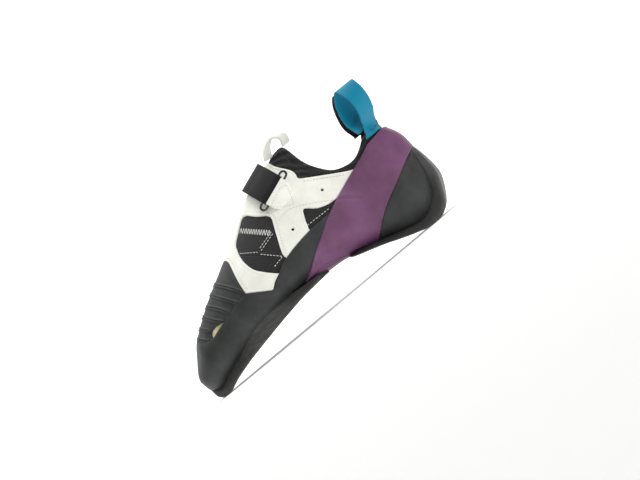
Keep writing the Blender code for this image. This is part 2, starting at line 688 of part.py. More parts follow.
def build_heel_loop(name, side, shift, material_name):
    """A webbing pull loop beside the heel: its outer leg on the collar's outer face, its inner leg inside it."""
    half = HEEL_LOOP_WIDTH / 2
    edge_x, edge_z = HEEL_LOOP_EDGE
    outside = GAP + HEEL_LOOP_THICKNESS / 2 + HEEL_LOOP_CLEARANCE
    inside = UPPER_WALL + GAP + HEEL_LOOP_THICKNESS / 2 + HEEL_LOOP_CLEARANCE
    middle = on_collar(edge_z, side, edge_x + shift, 0.0, 0.0).y
    steps = 2
    count = (len(HEEL_LOOP) - 1) * steps + 1
    rows = []
    for k in range(count):
        x, z, bulge, turn = along(HEEL_LOOP, k / steps)
        share = k / (count - 1)
        stand_off = outside * (1 - share) - inside * share + bulge * HEEL_LOOP_BULGE
        angle = math.radians(turn)
        outward = Vector((math.sin(angle), side * math.cos(angle), 0.0))
        width = Vector((math.cos(angle), -side * math.sin(angle), 0.0)) * half
        centre = side_point(x + shift, z, middle) + outward * stand_off
        follow = min(max((HEEL_LOOP_FREE - z) / (HEEL_LOOP_FREE - edge_z), 0.0), 1.0)
        row = []
        for across in (-1.0, -0.5, 0.0, 0.5, 1.0):
            flat = centre + width * across
            if follow > 0:
                distance = outside if share < 0.5 else -inside
                held = on_collar(min(z, edge_z), side, x + shift, across * half, distance)
                held.z = flat.z
                flat = flat.lerp(held, follow)
            row.append(flat)
        rows.append(row)
    sheet(name, rows, HEEL_LOOP_THICKNESS, material_name)


def centre_on_origin():
    """Moves every mesh so that the shoe's bounding box stands centred on the origin."""
    bpy.context.view_layer.update()
    seen = bpy.context.evaluated_depsgraph_get()
    shown = [piece for piece in bpy.data.objects if not piece.hide_render]
    corners = []
    for piece in shown:
        mesh = piece.evaluated_get(seen).to_mesh()
        corners += [piece.matrix_world @ vertex.co for vertex in mesh.vertices]
    low = [min(corner[axis] for corner in corners) for axis in range(3)]
    high = [max(corner[axis] for corner in corners) for axis in range(3)]
    shift = Matrix.Translation((-(low[0] + high[0]) / 2, -(low[1] + high[1]) / 2, -low[2]))
    for piece in bpy.data.objects:
        piece.data.transform(shift)


def main():
    clear_scene()
    build_upper()
    build_insole()
    build_overlays()
    build_soles()
    build_strap_and_ring()
    build_front_loop()
    build_heel_loop("heel_loop_lateral", -1, 0.0, "teal_webbing")
    build_heel_loop("heel_loop_medial", 1, MEDIAL_LOOP_SHIFT, "black_webbing")
    centre_on_origin()


main()
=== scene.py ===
import math

import bmesh
import bpy
import numpy as np
from mathutils import Matrix, Vector
from mathutils.bvhtree import BVHTree


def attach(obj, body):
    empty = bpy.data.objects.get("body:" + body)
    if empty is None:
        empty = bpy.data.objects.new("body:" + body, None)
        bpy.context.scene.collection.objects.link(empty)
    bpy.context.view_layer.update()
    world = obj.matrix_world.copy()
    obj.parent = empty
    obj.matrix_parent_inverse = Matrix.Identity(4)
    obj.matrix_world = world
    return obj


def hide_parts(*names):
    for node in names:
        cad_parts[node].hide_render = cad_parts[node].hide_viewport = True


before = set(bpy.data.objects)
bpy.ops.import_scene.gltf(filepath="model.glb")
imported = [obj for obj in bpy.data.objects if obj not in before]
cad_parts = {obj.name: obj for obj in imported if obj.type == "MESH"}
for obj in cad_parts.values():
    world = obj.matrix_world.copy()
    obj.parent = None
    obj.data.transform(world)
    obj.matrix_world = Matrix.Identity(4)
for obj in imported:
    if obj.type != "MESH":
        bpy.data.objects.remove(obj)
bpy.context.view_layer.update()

# Upper: the slip-lasted sock that every layer is glued to. Black stretch knit over a thin foam, lasted inside out,
# open at the collar, with a rolled edge there. The last's form is a table of fan sections from the toe to the ankle.
LENGTH = 0.242
INSTEP_HEIGHT = 0.118
BALL_WIDTH = 0.088
CENTRING = np.array((0.000075, -0.001321, 0.0))
KNIT_WALL = 0.0018
KNIT_STEP = 0.0014
RIM_THINNING = 0.0009
COLLAR_SEAM = 0.0052
# Distance in from the collar's edge, and the height of the knit there: a rolled edge, a sewn dip and a pad below it.
COLLAR_ROLL = (
    (0, 0.0004, 0.0012, 0.0025, COLLAR_SEAM, 0.007, 0.012),
    (-0.0006, 0.0001, 0.0005, 0.0007, 0.0001, 0.0004, 0.0),
)
RIPPLES_FROM, RIPPLES_FULL = 0.085, 0.105
# Shares of a skin's step: how near a cut its points are drawn onto it, and the height under which a face is a sliver.
RING_SNAP, EDGE_SNAP, SLIVER = 0.15, 0.05, 0.03
LAST_SECTIONS = np.array((
    # top x, top z, sole x, sole z, lateral, ridge, medial, widest, square below, square above
    (0.011, 0.178, 0.011, 0.164, 0.145, 0.160, 0.175, 0.50, 2.0, 2.0),
    (0.022, 0.223, 0.021, 0.092, 0.020, 0.165, 0.315, 0.46, 2.3, 2.0),
    (0.044, 0.284, 0.050, 0.060, -0.095, 0.165, 0.395, 0.42, 2.6, 2.0),
    (0.079, 0.375, 0.102, 0.098, -0.215, 0.155, 0.455, 0.38, 2.9, 2.0),
    (0.134, 0.461, 0.169, 0.135, -0.310, 0.130, 0.485, 0.35, 3.1, 2.0),
    (0.202, 0.548, 0.255, 0.170, -0.390, 0.100, 0.500, 0.33, 3.2, 2.0),
    (0.276, 0.629, 0.348, 0.204, -0.445, 0.070, 0.495, 0.31, 3.2, 1.95),
    (0.353, 0.718, 0.440, 0.228, -0.470, 0.042, 0.465, 0.30, 3.0, 1.9),
    (0.427, 0.812, 0.526, 0.216, -0.465, 0.020, 0.420, 0.30, 2.8, 1.85),
    (0.490, 0.886, 0.612, 0.202, -0.440, 0.005, 0.380, 0.31, 2.6, 1.8),
    (0.545, 0.929, 0.698, 0.156, -0.410, -0.005, 0.350, 0.31, 2.6, 1.8),
    (0.591, 0.958, 0.791, 0.089, -0.375, -0.008, 0.328, 0.30, 2.6, 1.75),
    (0.625, 0.982, 0.871, 0.050, -0.345, -0.010, 0.312, 0.30, 2.6, 1.7),
    (0.649, 1.004, 0.932, 0.106, -0.325, -0.010, 0.302, 0.32, 2.6, 1.7),
    (0.668, 1.032, 0.969, 0.253, -0.312, -0.010, 0.292, 0.35, 2.6, 1.75),
    (0.680, 1.065, 0.973, 0.392, -0.303, -0.010, 0.284, 0.37, 2.6, 1.8),
    (0.689, 1.110, 0.969, 0.557, -0.294, -0.008, 0.277, 0.40, 2.5, 1.9),
    (0.696, 1.160, 0.944, 0.684, -0.287, -0.006, 0.272, 0.42, 2.4, 1.95),
    (0.703, 1.215, 0.954, 0.810, -0.282, -0.005, 0.270, 0.42, 2.4, 1.95),
))
LAST_ROW = len(LAST_SECTIONS) - 1
# How finely the last is measured: samples in a quarter of a ring and along it, and guide lines round it.
QUARTER_SAMPLES, ROW_SAMPLES, GUIDES = 120, 901, 8
# How many points a distance is worked out for at once.
AT_ONCE = 20000
COLLAR_LINE = (
    (0.600, 1.014), (0.631, 0.996), (0.664, 0.998), (0.675, 0.945), (0.686, 0.850), (0.703, 0.771),
    (0.738, 0.678), (0.775, 0.642), (0.812, 0.636), (0.849, 0.668), (0.880, 0.710), (0.930, 0.750), (1.000, 0.762),
)
ABOVE_COLLAR = ((1.2, 0.78), (1.2, 1.6), (0.45, 1.6), (0.45, 1.1))


def smooth_rows(table, at):
    """The smooth values of a table of rows at row numbers with fractions."""
    at = np.clip(at, 0, len(table) - 1)
    low = np.minimum(at.astype(int), len(table) - 2)
    t = (at - low)[..., None]
    p, q, r, s = (table[np.clip(low + k, 0, len(table) - 1)] for k in (-1, 0, 1, 2))
    return 0.5 * (2 * q + (r - p) * t + (2 * p - 5 * q + 4 * r - s) * t ** 2 + (3 * q - p - 3 * r + s) * t ** 3)


def last_form(row, turn):
    """Points on the last. A turn is 0 under the foot, 0.25 on the outer side, 0.5 on top and 0.75 on the inner side."""
    row, turn = np.broadcast_arrays(np.asarray(row, float), np.asarray(turn, float))
    part = smooth_rows(LAST_SECTIONS, row)
    angle = 2 * np.pi * turn - np.pi / 2
    across, up = np.cos(angle), np.sin(angle)
    square = np.where(up > 0, part[..., 9], part[..., 8])
    spread = np.abs(across) ** (2 / square)
    lift = np.abs(up) ** (2 / square)
    edge = np.where(across > 0, part[..., 4], part[..., 6])
    widest = part[..., 7]
    height = np.where(up > 0, widest + (1 - widest) * lift, widest * (1 - lift))
    x = (part[..., 2] + (part[..., 0] - part[..., 2]) * height - 0.5) * LENGTH
    z = (part[..., 3] + (part[..., 1] - part[..., 3]) * height) * INSTEP_HEIGHT
    y = BALL_WIDTH * (part[..., 5] + (edge - part[..., 5]) * spread)
    return np.stack((x, y, z), -1) + CENTRING


def last_normal(row, turn):
    """The outward normals of the last."""
    row, turn = np.asarray(row, float), np.asarray(turn, float)
    ahead = last_form(np.minimum(row + 0.06, LAST_ROW), turn) - last_form(np.maximum(row - 0.06, 0), turn)
    round_it = last_form(row, (turn + 0.006) % 1.0) - last_form(row, (turn - 0.006) % 1.0)
    out = np.cross(ahead, round_it)
    return out / np.linalg.norm(out, axis=-1, keepdims=True)


def last_grid(first, last, step):
    """Rings of points round the last, about a step apart both ways, with their outward normals."""
    quarter = (1 - np.cos(np.linspace(0, np.pi, QUARTER_SAMPLES + 1)[:-1])) / 8
    fine = np.append(np.concatenate([quarter + k / 4 for k in range(4)]), 1.0)
    rows = np.linspace(first, last, ROW_SAMPLES)
    guides = last_form(rows[:, None], np.arange(0, 1, 1 / GUIDES)[None, :])
    run = np.append(0, np.cumsum(np.linalg.norm(np.diff(guides, axis=0), axis=2).max(1)))
    rows = np.interp(np.linspace(0, run[-1], int(run[-1] / step) + 2), run, rows)
    rings = last_form(rows[:, None], fine[None, :])
    gone = np.cumsum(np.linalg.norm(np.diff(rings, axis=1), axis=2), axis=1)
    gone = np.concatenate((np.zeros((len(rows), 1)), gone), axis=1)
    half = len(fine) // 2
    count = int(gone[:, -1].max() / 2 / step) + 1
    turns = np.array([
        np.concatenate((
            np.interp(np.linspace(0, one[half], count + 1)[:-1], one, fine),
            np.interp(np.linspace(one[half], one[-1], count + 1)[:-1], one, fine),
        )) for one in gone
    ])
    points = last_form(rows[:, None], turns)
    normals = last_normal(rows[:, None], turns)
    return points, normals


def side_points(shares, smooth=0, closed=False):
    """Side-view shares of the length and the instep's height as an array of x and z in metres."""
    table = np.array(shares, float)
    if smooth:
        ring = np.concatenate((table[-2:], table, table[:3])) if closed else table
        steps = np.arange(2 * smooth, (len(table) + 2) * smooth) if closed else np.arange((len(table) - 1) * smooth + 1)
        table = smooth_rows(ring, steps / smooth)
    return np.stack(((table[:, 0] - 0.5) * LENGTH + CENTRING[0], table[:, 1] * INSTEP_HEIGHT), -1)


def line_distance(points, line, closed=False):
    """Distance in the side view from points to a line, and which side of its nearest piece they lie on."""
    where = points[..., (0, 2)].reshape(-1, 2)
    start = line if closed else line[:-1]
    end = np.roll(line, -1, 0) if closed else line[1:]
    run = end - start
    best = np.empty(len(where))
    side = np.empty(len(where))
    for low in range(0, len(where), AT_ONCE):
        gap = where[low:low + AT_ONCE, None] - start
        share = np.clip((gap * run).sum(-1) / np.maximum((run * run).sum(-1), 1e-12), 0, 1)
        off = gap - run * share[..., None]
        far = np.linalg.norm(off, axis=-1)
        near = far.argmin(1)
        one = np.arange(len(near))
        best[low:low + AT_ONCE] = far[one, near]
        side[low:low + AT_ONCE] = np.sign(run[near, 0] * gap[one, near, 1] - run[near, 1] * gap[one, near, 0])
    return best.reshape(points.shape[:-1]), side.reshape(points.shape[:-1])


def inside(points, outline):
    """Distance in the side view to an outline's edge, above zero inside it and below zero outside."""
    distance, _ = line_distance(points, outline, closed=True)
    x, z = points[..., 0], points[..., 2]
    odd = np.zeros(x.shape, bool)
    for (ax, az), (bx, bz) in zip(outline, np.roll(outline, -1, 0)):
        if az != bz:
            odd ^= ((az > z) != (bz > z)) & (x < (bx - ax) * (z - az) / (bz - az) + ax)
    return np.where(odd, distance, -distance)


def split_at(work, level, snap):
    """Cuts the faces of a skin along the line where its mark has a level. The depth keeps what the mark was before."""
    mark, depth = work.verts.layers.float["mark"], work.verts.layers.float["depth"]
    on_line = []
    for vertex in work.verts:
        if abs(vertex[mark] - level) < snap:
            vertex[mark] = level
            on_line.append(vertex)
    for edge in list(work.edges):
        a, b = edge.verts
        p, q = a[mark] - level, b[mark] - level
        if p * q < 0:
            _, fresh = bmesh.utils.edge_split(edge, a, p / (p - q))
            fresh[mark] = fresh[depth] = level
            on_line.append(fresh)
    bmesh.ops.connect_verts(work, verts=on_line)


def turn_slivers(work, least):
    """Turns the long edge of every triangle flatter than a least height, which would show as a dent once raised."""
    mark = work.verts.layers.float["mark"]
    for _ in range(2):
        for face in list(work.faces):
            if not face.is_valid:
                continue
            edge = max(face.edges, key=lambda e: e.calc_length())
            if 2 * face.calc_area() < least * edge.calc_length() and len(edge.link_faces) == 2:
                far = [v for side in edge.link_faces for v in side.verts if v not in edge.verts]
                level = edge.verts[0][mark] == edge.verts[1][mark]
                if not level and not any(far[1] in other.verts for other in far[0].link_edges):
                    bmesh.utils.edge_rotate(edge, False)


def even_normals(mesh):
    """Smooth normals weighted by area, so that the thin faces beside a cut leave no mark."""
    count = len(mesh.polygons)
    normal, area, total = np.empty(count * 3), np.empty(count), np.empty(count, int)
    mesh.polygons.foreach_get("normal", normal)
    mesh.polygons.foreach_get("area", area)
    mesh.polygons.foreach_get("loop_total", total)
    corner = np.empty(len(mesh.loops), int)
    mesh.loops.foreach_get("vertex_index", corner)
    vectors = np.zeros((len(mesh.vertices), 3))
    np.add.at(vectors, corner, (normal.reshape(-1, 3) * area[:, None])[np.repeat(np.arange(count), total)])
    vectors /= np.maximum(np.linalg.norm(vectors, axis=1, keepdims=True), 1e-12)
    mesh.normals_split_custom_set_from_vertices(vectors.tolist())


def ring_quads(rows, count):
    """The faces between rings of points."""
    grid = np.arange(rows * count).reshape(rows, count)
    beside = np.roll(grid, -1, 1)
    return np.stack((grid[:-1], grid[1:], beside[1:], beside[:-1]), -1).reshape(-1, 4)


def new_object(name, data):
    """An object in the scene that holds a mesh, a curve, a lens or a lamp."""
    made = bpy.data.objects.new(name, data)
    bpy.context.scene.collection.objects.link(made)
    return made


def make_skin(name, first, last, step, mark_of, height_of, rings=(), sink=None):
    """A layer between two rows of the last: the part where the mark is above zero, raised by its height. It is cut
    along the marks of its rings too, and its edge is turned down to sink."""
    points, normals = last_grid(first, last, step)
    marks = mark_of(points)
    rows, count = marks.shape
    quads = ring_quads(rows, count)
    quads = quads[marks.ravel()[quads].max(1) > 0]
    faces = quads.tolist()
    points, normals, marks = points.reshape(-1, 3), normals.reshape(-1, 3), marks.ravel()
    if first == 0 and marks[:count].max() > 0:
        tip = len(points)
        points = np.vstack((points, points[:count].mean(0)))
        normals = np.vstack((normals, (-1, 0, 0)))
        marks = np.append(marks, marks[:count].mean())
        faces += [[k, (k + 1) % count, tip] for k in range(count)]
    used = np.unique(np.concatenate([np.array(face) for face in faces]) if first == 0 else quads)
    place = np.full(len(points), -1)
    place[used] = np.arange(len(used))
    mesh = bpy.data.meshes.new(name)
    mesh.from_pydata(points[used].tolist(), [], [[int(place[k]) for k in face] for face in faces])
    for kept in ("mark", "depth"):
        mesh.attributes.new(kept, "FLOAT", "POINT").data.foreach_set("value", marks[used].astype(np.float32))
    out = mesh.attributes.new("out", "FLOAT_VECTOR", "POINT")
    out.data.foreach_set("vector", normals[used].astype(np.float32).ravel())
    work = bmesh.new()
    work.from_mesh(mesh)
    for level in (0.0, *rings):
        split_at(work, level, step * (RING_SNAP if level else EDGE_SNAP))
    bmesh.ops.triangulate(work, faces=work.faces[:])
    turn_slivers(work, step * SLIVER)
    mark = work.verts.layers.float["mark"]
    out = work.verts.layers.float_vector["out"]
    outside = [face for face in work.faces if min(v[mark] for v in face.verts) < -1e-9]
    bmesh.ops.delete(work, geom=outside, context="FACES")
    if sink is not None:
        edge = [e for e in work.edges if e.is_boundary and e.verts[0][mark] < 1e-6 and e.verts[1][mark] < 1e-6]
        turned = bmesh.ops.extrude_edge_only(work, edges=edge)
        for vertex in turned["geom"]:
            if isinstance(vertex, bmesh.types.BMVert):
                vertex[mark] = -1.0
    place = np.array([v.co for v in work.verts])
    away = np.array([v[out] for v in work.verts])
    away /= np.linalg.norm(away, axis=1, keepdims=True)
    depth = work.verts.layers.float["depth"]
    height = height_of(place, np.array([v[depth] for v in work.verts]))
    if sink is not None:
        height = np.where(np.array([v[mark] for v in work.verts]) < -0.5, sink, height)
    place = place + away * height[:, None]
    for vertex, spot in zip(work.verts, place):
        vertex.co = spot
    work.to_mesh(mesh)
    work.free()
    mesh.shade_smooth()
    even_normals(mesh)
    return new_object(name, mesh)


def waves(points, size, seed, height):
    """A soft uneven field up to a height, whose humps are about a size across."""
    total = np.zeros(points.shape[:-1])
    for k in range(5):
        lean = np.array((math.sin(seed * 3.1 + k * 2.4), math.cos(seed * 1.7 + k * 1.3), math.sin(seed + k * 4.1)))
        total += np.sin(points @ lean * (2 * np.pi / size) * (0.7 + 0.25 * k) + seed * 5 + k)
    return height * total / 5


def to_linear(code):
    """An sRGB hex colour as linear red, green, blue and alpha."""
    values = [int(code[k:k + 2], 16) / 255 for k in (1, 3, 5)]
    return (*(v / 12.92 if v <= 0.04045 else ((v + 0.055) / 1.055) ** 2.4 for v in values), 1.0)


def add(tree, kind, inputs=None, **settings):
    """A node with its settings, its inputs set to values or linked to other sockets."""
    made = tree.nodes.new(kind)
    for name, value in settings.items():
        setattr(made, name, value)
    for name, value in (inputs or {}).items():
        if isinstance(value, bpy.types.NodeSocket):
            tree.links.new(value, made.inputs[name])
        else:
            made.inputs[name].default_value = value
    return made


def start_material(name, roughness, **shader_values):
    """A material with its constants on the shader itself. Gives it, its tree, its shader and its coordinates."""
    made = bpy.data.materials.new(name)
    made.use_nodes = True
    tree = made.node_tree
    shader = tree.nodes["Principled BSDF"]
    shader.inputs["Roughness"].default_value = roughness
    for key, value in shader_values.items():
        shader.inputs[key.replace("_", " ")].default_value = value
    where = add(tree, "ShaderNodeTexCoord").outputs["Object"]
    return made, tree, shader, where


def noise(tree, where, scale, **more):
    """Noise whose scale is in humps a metre."""
    return add(tree, "ShaderNodeTexNoise", {"Vector": where, "Scale": scale, **more}).outputs["Fac"]


def ramp(tree, factor, low, dark, high, light):
    """One colour up to a low factor, another from a high factor on."""
    made = add(tree, "ShaderNodeValToRGB", {"Fac": factor})
    for stop, place, code in zip(made.color_ramp.elements, (low, high), (dark, light)):
        stop.position, stop.color = place, to_linear(code)
    return made.outputs["Color"]


def mottle(tree, where, size, light, dark):
    """Two colours mixed by soft noise of a size in metres."""
    return ramp(tree, noise(tree, where, 1 / size, Detail=3.0, Roughness=0.6), 0.35, dark, 0.65, light)


def paint(tree, shader, color):
    tree.links.new(color, shader.inputs["Base Color"])


def bump(tree, shader, height, depth, under=None):
    """A bump of a depth in metres, over another bump if one is given."""
    made = add(tree, "ShaderNodeBump", {"Height": height, "Distance": depth, "Strength": 1.0})
    if under is not None:
        tree.links.new(under, made.inputs["Normal"])
    tree.links.new(made.outputs["Normal"], shader.inputs["Normal"])
    return made.outputs["Normal"]


def grained(name, roughness, cloud, light, dark, grain, depth, detail=2.0, harsh=0.5, **shader_values):
    """A material of two shades in clouds of a size in metres, with a bump of so many grains a metre."""
    made, tree, shader, where = start_material(name, roughness, **shader_values)
    paint(tree, shader, mottle(tree, where, cloud, light, dark))
    bump(tree, shader, noise(tree, where, grain, Detail=detail, Roughness=harsh), depth)
    return made, tree, shader, where


def dress(piece, material, slot, *nodes):
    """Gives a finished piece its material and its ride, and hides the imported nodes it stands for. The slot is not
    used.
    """
    piece.data.materials.clear()
    piece.data.materials.append(material)
    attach(piece, "root")
    if nodes:
        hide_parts(*nodes)


collar_shape = np.vstack((side_points(COLLAR_LINE, 3), side_points(ABOVE_COLLAR)))


def collar_mark(points):
    return -inside(points, collar_shape)


def knit_height(points, mark):
    high = np.clip((points[:, 2] - RIPPLES_FROM) / (RIPPLES_FULL - RIPPLES_FROM), 0, 1)
    return np.interp(mark, *COLLAR_ROLL) + waves(points, size=0.02, seed=3, height=0.0003) * high


upper = make_skin("knit_upper", 0, LAST_ROW, KNIT_STEP, collar_mark, knit_height, rings=COLLAR_ROLL[0][1:5])
outer_knit = upper.copy()
outer_knit.data = upper.data.copy()
work = bmesh.new()
work.from_mesh(upper.data)
mark = work.verts.layers.float["mark"]
out = work.verts.layers.float_vector["out"]
inner = {}
for vertex in list(work.verts):
    thin = KNIT_WALL - RIM_THINNING * math.exp(-max(vertex[mark], 0) / RIM_THINNING)
    inner[vertex] = work.verts.new(vertex.co - vertex[out].normalized() * thin, vertex)
rim = [edge for edge in work.edges if edge.is_boundary]
for face in list(work.faces):
    work.faces.new([inner[vertex] for vertex in reversed(face.verts)])
for edge in rim:
    loop = edge.link_loops[0]
    a, b = loop.vert, loop.link_loop_next.vert
    work.faces.new((b, a, inner[a], inner[b]))
for face in work.faces:
    face.smooth = True
work.to_mesh(upper.data)
work.free()
even_normals(upper.data)

# Polyester stretch knit: near black, matt, mottled over 6 mm, with courses 0.9 mm apart, drawn a little coarser than
# the real ones, and soft embossed waves about 6 mm apart.
knit, tree, shader, where = start_material(
    "black_stretch_knit", 0.86, Specular_IOR_Level=0.25, Sheen_Weight=0.1, Sheen_Roughness=0.45)
paint(tree, shader, mottle(tree, where, 0.006, "#2C2C2C", "#222222"))
emboss = add(
    tree, "ShaderNodeTexWave",
    {"Vector": where, "Scale": 55.0, "Distortion": 5.0, "Detail": 1.0, "Detail Scale": 0.8},
    bands_direction="DIAGONAL")
course = add(tree, "ShaderNodeTexVoronoi", {"Vector": where, "Scale": 1100.0, "Randomness": 0.35})
soft = bump(tree, shader, emboss.outputs["Fac"], 0.0010)
bump(tree, shader, course.outputs["Distance"], 0.00018, soft)
dress(upper, knit, "black_textile", "upper")


# Insole: a thin footbed of grey-beige wool felt, die-cut and glued in the upper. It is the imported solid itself, and
# shows only through the collar. The felt is flecked over 1.5 mm, with fibres 0.4 mm apart.
insole_felt, *_ = grained(
    "insole_felt", 0.95, 0.0015, "#A39D8B", "#8C8674", grain=2500.0, depth=0.0002, detail=4.0, Sheen_Weight=0.2)
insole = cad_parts["insole"]
insole.data.materials.clear()
insole.data.materials.append(insole_felt)


# Suede frame: off-white microfibre suede cut with two windows a side, its edges stitched 2.4 mm in, glued on the
# knit and lasted with it. The outer quarter lies over the vamp along a line from the ring to the front window.
BAND_FRONT = (
    (0.430, 0.060), (0.446, 0.224), (0.492, 0.285), (0.531, 0.336), (0.574, 0.385), (0.626, 0.447),
    (0.688, 0.505), (0.739, 0.545), (0.789, 0.583), (0.830, 0.612), (0.874, 0.652),
)
BAND_TOP = ((0.912, 0.664), (0.950, 0.668), (1.040, 0.690))
BAND_REAR = (
    (1.040, 0.462), (0.979, 0.460), (0.956, 0.448), (0.917, 0.408), (0.886, 0.372), (0.847, 0.331),
    (0.804, 0.289), (0.768, 0.244), (0.735, 0.195), (0.708, 0.140), (0.690, 0.020),
)
RAND_TOP = (
    (0.040, 0.470), (0.076, 0.395), (0.097, 0.352), (0.131, 0.333), (0.154, 0.347), (0.186, 0.366),
    (0.244, 0.398), (0.297, 0.421),
)
RAND_CORNER = ((0.367, 0.331),)
RAND_STRIP = (
    (0.391, 0.366), (0.416, 0.388), (0.449, 0.422), (0.506, 0.450), (0.566, 0.467), (0.610, 0.471), (0.660, 0.472),
)
PATCH_REAR = (
    (0.297, 0.415), (0.301, 0.487), (0.308, 0.560), (0.314, 0.612), (0.315, 0.642), (0.308, 0.662), (0.288, 0.690),
)
OVERLAY_TOP = (
    (0.560, 1.060), (0.601, 0.975), (0.614, 0.915), (0.641, 0.838), (0.646, 0.795), (0.644, 0.764),
    (0.670, 0.728), (0.700, 0.691), (0.767, 0.611), (0.805, 0.575),
)
FRONT_WINDOW = (
    (0.439, 0.804), (0.470, 0.750), (0.503, 0.691), (0.488, 0.606), (0.459, 0.464), (0.462, 0.410), (0.425, 0.372),
    (0.375, 0.465), (0.358, 0.520), (0.352, 0.590), (0.357, 0.655), (0.368, 0.702), (0.398, 0.750),
)
REAR_WINDOW = (
    (0.574, 0.506), (0.585, 0.563), (0.592, 0.592), (0.603, 0.590), (0.630, 0.545), (0.668, 0.519), (0.720, 0.508),
    (0.720, 0.470), (0.640, 0.420), (0.573, 0.440),
)
QUARTER_EDGE = ((0.516, 0.900), (0.514, 0.830), (0.513, 0.788), (0.512, 0.735), (0.504, 0.690))
PUNCHED_HOLES = ((0.677, 0.613), (0.531, 0.540))
HOLE_RADIUS = 0.0011
SUEDE_THICKNESS = 0.0013
# Distance in from a layer's edge, and the share of its thickness there.
SUEDE_EDGE = ((0, 0.0003, 0.0007, 0.0012), (0.66, 0.86, 0.97, 1.0))
QUARTER_STEP = 0.0006
SEAM_INSET = 0.0024
# How far a layer runs on under the next one, and how far its edge is turned down.
TUCK = 0.0003
EDGE_SINK = -0.0002

band_shape = np.vstack((
    side_points(BAND_FRONT, 3), side_points(BAND_TOP), side_points(BAND_REAR, 3),
    side_points(((0.69, -0.15), (0.43, -0.15))),
))
rand_shape = np.vstack((
    side_points(RAND_TOP, 3), side_points(RAND_CORNER), side_points(RAND_STRIP, 3),
    side_points(((0.72, 0.45), (0.60, -0.15), (-0.15, -0.15), (-0.15, 0.47))),
))
patch_shape = np.vstack((
    side_points(PATCH_REAR, 3), side_points(((0.220, 1.0), (-0.15, 1.0), (-0.15, 0.2), (0.2, 0.2))),
))
overlay_shape = np.vstack((
    side_points(OVERLAY_TOP, 3), side_points(((0.805, 0.40), (0.25, 0.20), (0.20, 0.60), (0.20, 1.06))),
))
front_window = side_points(FRONT_WINDOW, 3, closed=True)
rear_window = side_points(REAR_WINDOW, 3, closed=True)
quarter_edge = side_points(QUARTER_EDGE, 3)
punched_holes = side_points(PUNCHED_HOLES)


def ease(share):
    """A share held between 0 and 1 and slowed at both ends."""
    share = np.clip(share, 0, 1)
    return share * share * (3 - 2 * share)


def hump(far, width):
    """A soft hump of height 1, by the distance from its top."""
    return np.exp(-(far / width) ** 2)


def suede_mark(points):
    return np.min((
        inside(points, overlay_shape),
        TUCK - inside(points, rand_shape),
        TUCK - inside(points, band_shape),
        TUCK - inside(points, patch_shape),
        -inside(points, front_window),
        -inside(points, rear_window),
        *(np.linalg.norm(points[..., (0, 2)] - hole, axis=-1) - HOLE_RADIUS for hole in punched_holes),
    ), axis=0)


def suede_height(points, mark):
    edge = np.interp(mark, *SUEDE_EDGE) * SUEDE_THICKNESS
    seam = 0.00012 * hump(mark - SUEDE_EDGE[0][-1], width=0.0007) - 0.00026 * hump(mark - SEAM_INSET, width=0.0005)
    far, side = line_distance(points, quarter_edge)
    quarter = QUARTER_STEP * ease(0.5 + far * side / 0.0008) * hump(far, width=0.009)
    return edge + seam + quarter + waves(points, size=0.030, seed=1, height=0.00016)


suede = make_skin(
    "suede_frame", 3.5, 14.5, 0.0008, suede_mark, suede_height, (*SUEDE_EDGE[0][1:], SEAM_INSET), EDGE_SINK)

# Microfibre suede: off-white with a soft nap that catches the light, mottled over 8 mm and grained at 0.3 mm, a
# little coarser than the real nap.
white_suede, *_ = grained(
    "off_white_suede", 0.92, 0.008, "#F5F5EC", "#EEEEE4", grain=3500.0, depth=0.00012, detail=3.0, harsh=0.7,
    Sheen_Weight=0.35, Sheen_Roughness=0.5)
dress(suede, white_suede, "off_white_suede", "suede_overlay")


# Window panels: an open mesh knit in the vamp and the quarter, darker than the collar, with two taped seams
# sewn in white; on the vamp the lower panel is plainer.
VAMP_SEAM = ((0.478, 0.609), (0.413, 0.573), (0.406, 0.563), (0.358, 0.641))
TOE_SEAM = ((0.410, 0.558), (0.455, 0.454))
SEAM_RIDGE = 0.00028
SEAM_TAPE = 0.0011
PANEL_LAP = 0.0025

vamp_seam = side_points(VAMP_SEAM)
toe_seam = side_points(TOE_SEAM)


def window_mark(points):
    return PANEL_LAP + np.maximum(inside(points, front_window), inside(points, rear_window))


def window_height(points, mark):
    ridge = sum(hump(line_distance(points, seam)[0], SEAM_TAPE) for seam in (vamp_seam, toe_seam))
    return 0.00015 + SEAM_RIDGE * ridge + waves(points, size=0.014, seed=7, height=0.0001)


panels = make_skin("mesh_panels", 4.5, 13, 0.0007, window_mark, window_height)

# Mesh knit: charcoal polyester whose cells, 1 mm apart, show as small dark holes between raised threads, in courses
# 1.4 mm apart that run across the foot.
mesh_knit, tree, shader, where = start_material("charcoal_mesh_knit", 0.8, Specular_IOR_Level=0.25, Sheen_Weight=0.05)
cells = add(tree, "ShaderNodeTexVoronoi", {"Vector": where, "Scale": 1000.0, "Randomness": 0.25})
paint(tree, shader, ramp(tree, cells.outputs["Distance"], 0.2, "#191919", 0.6, "#313131"))
turned = add(tree, "ShaderNodeMapping", {"Vector": where, "Rotation": (0.0, math.radians(-40), 0.0)})
ribs = add(
    tree, "ShaderNodeTexWave", {"Vector": turned.outputs["Vector"], "Scale": 220.0, "Distortion": 0.6},
    bands_direction="Z")
row_bump = bump(tree, shader, ribs.outputs["Fac"], 0.00025)
bump(tree, shader, cells.outputs["Distance"], 0.0002, row_bump)
dress(panels, mesh_knit, "black_textile")


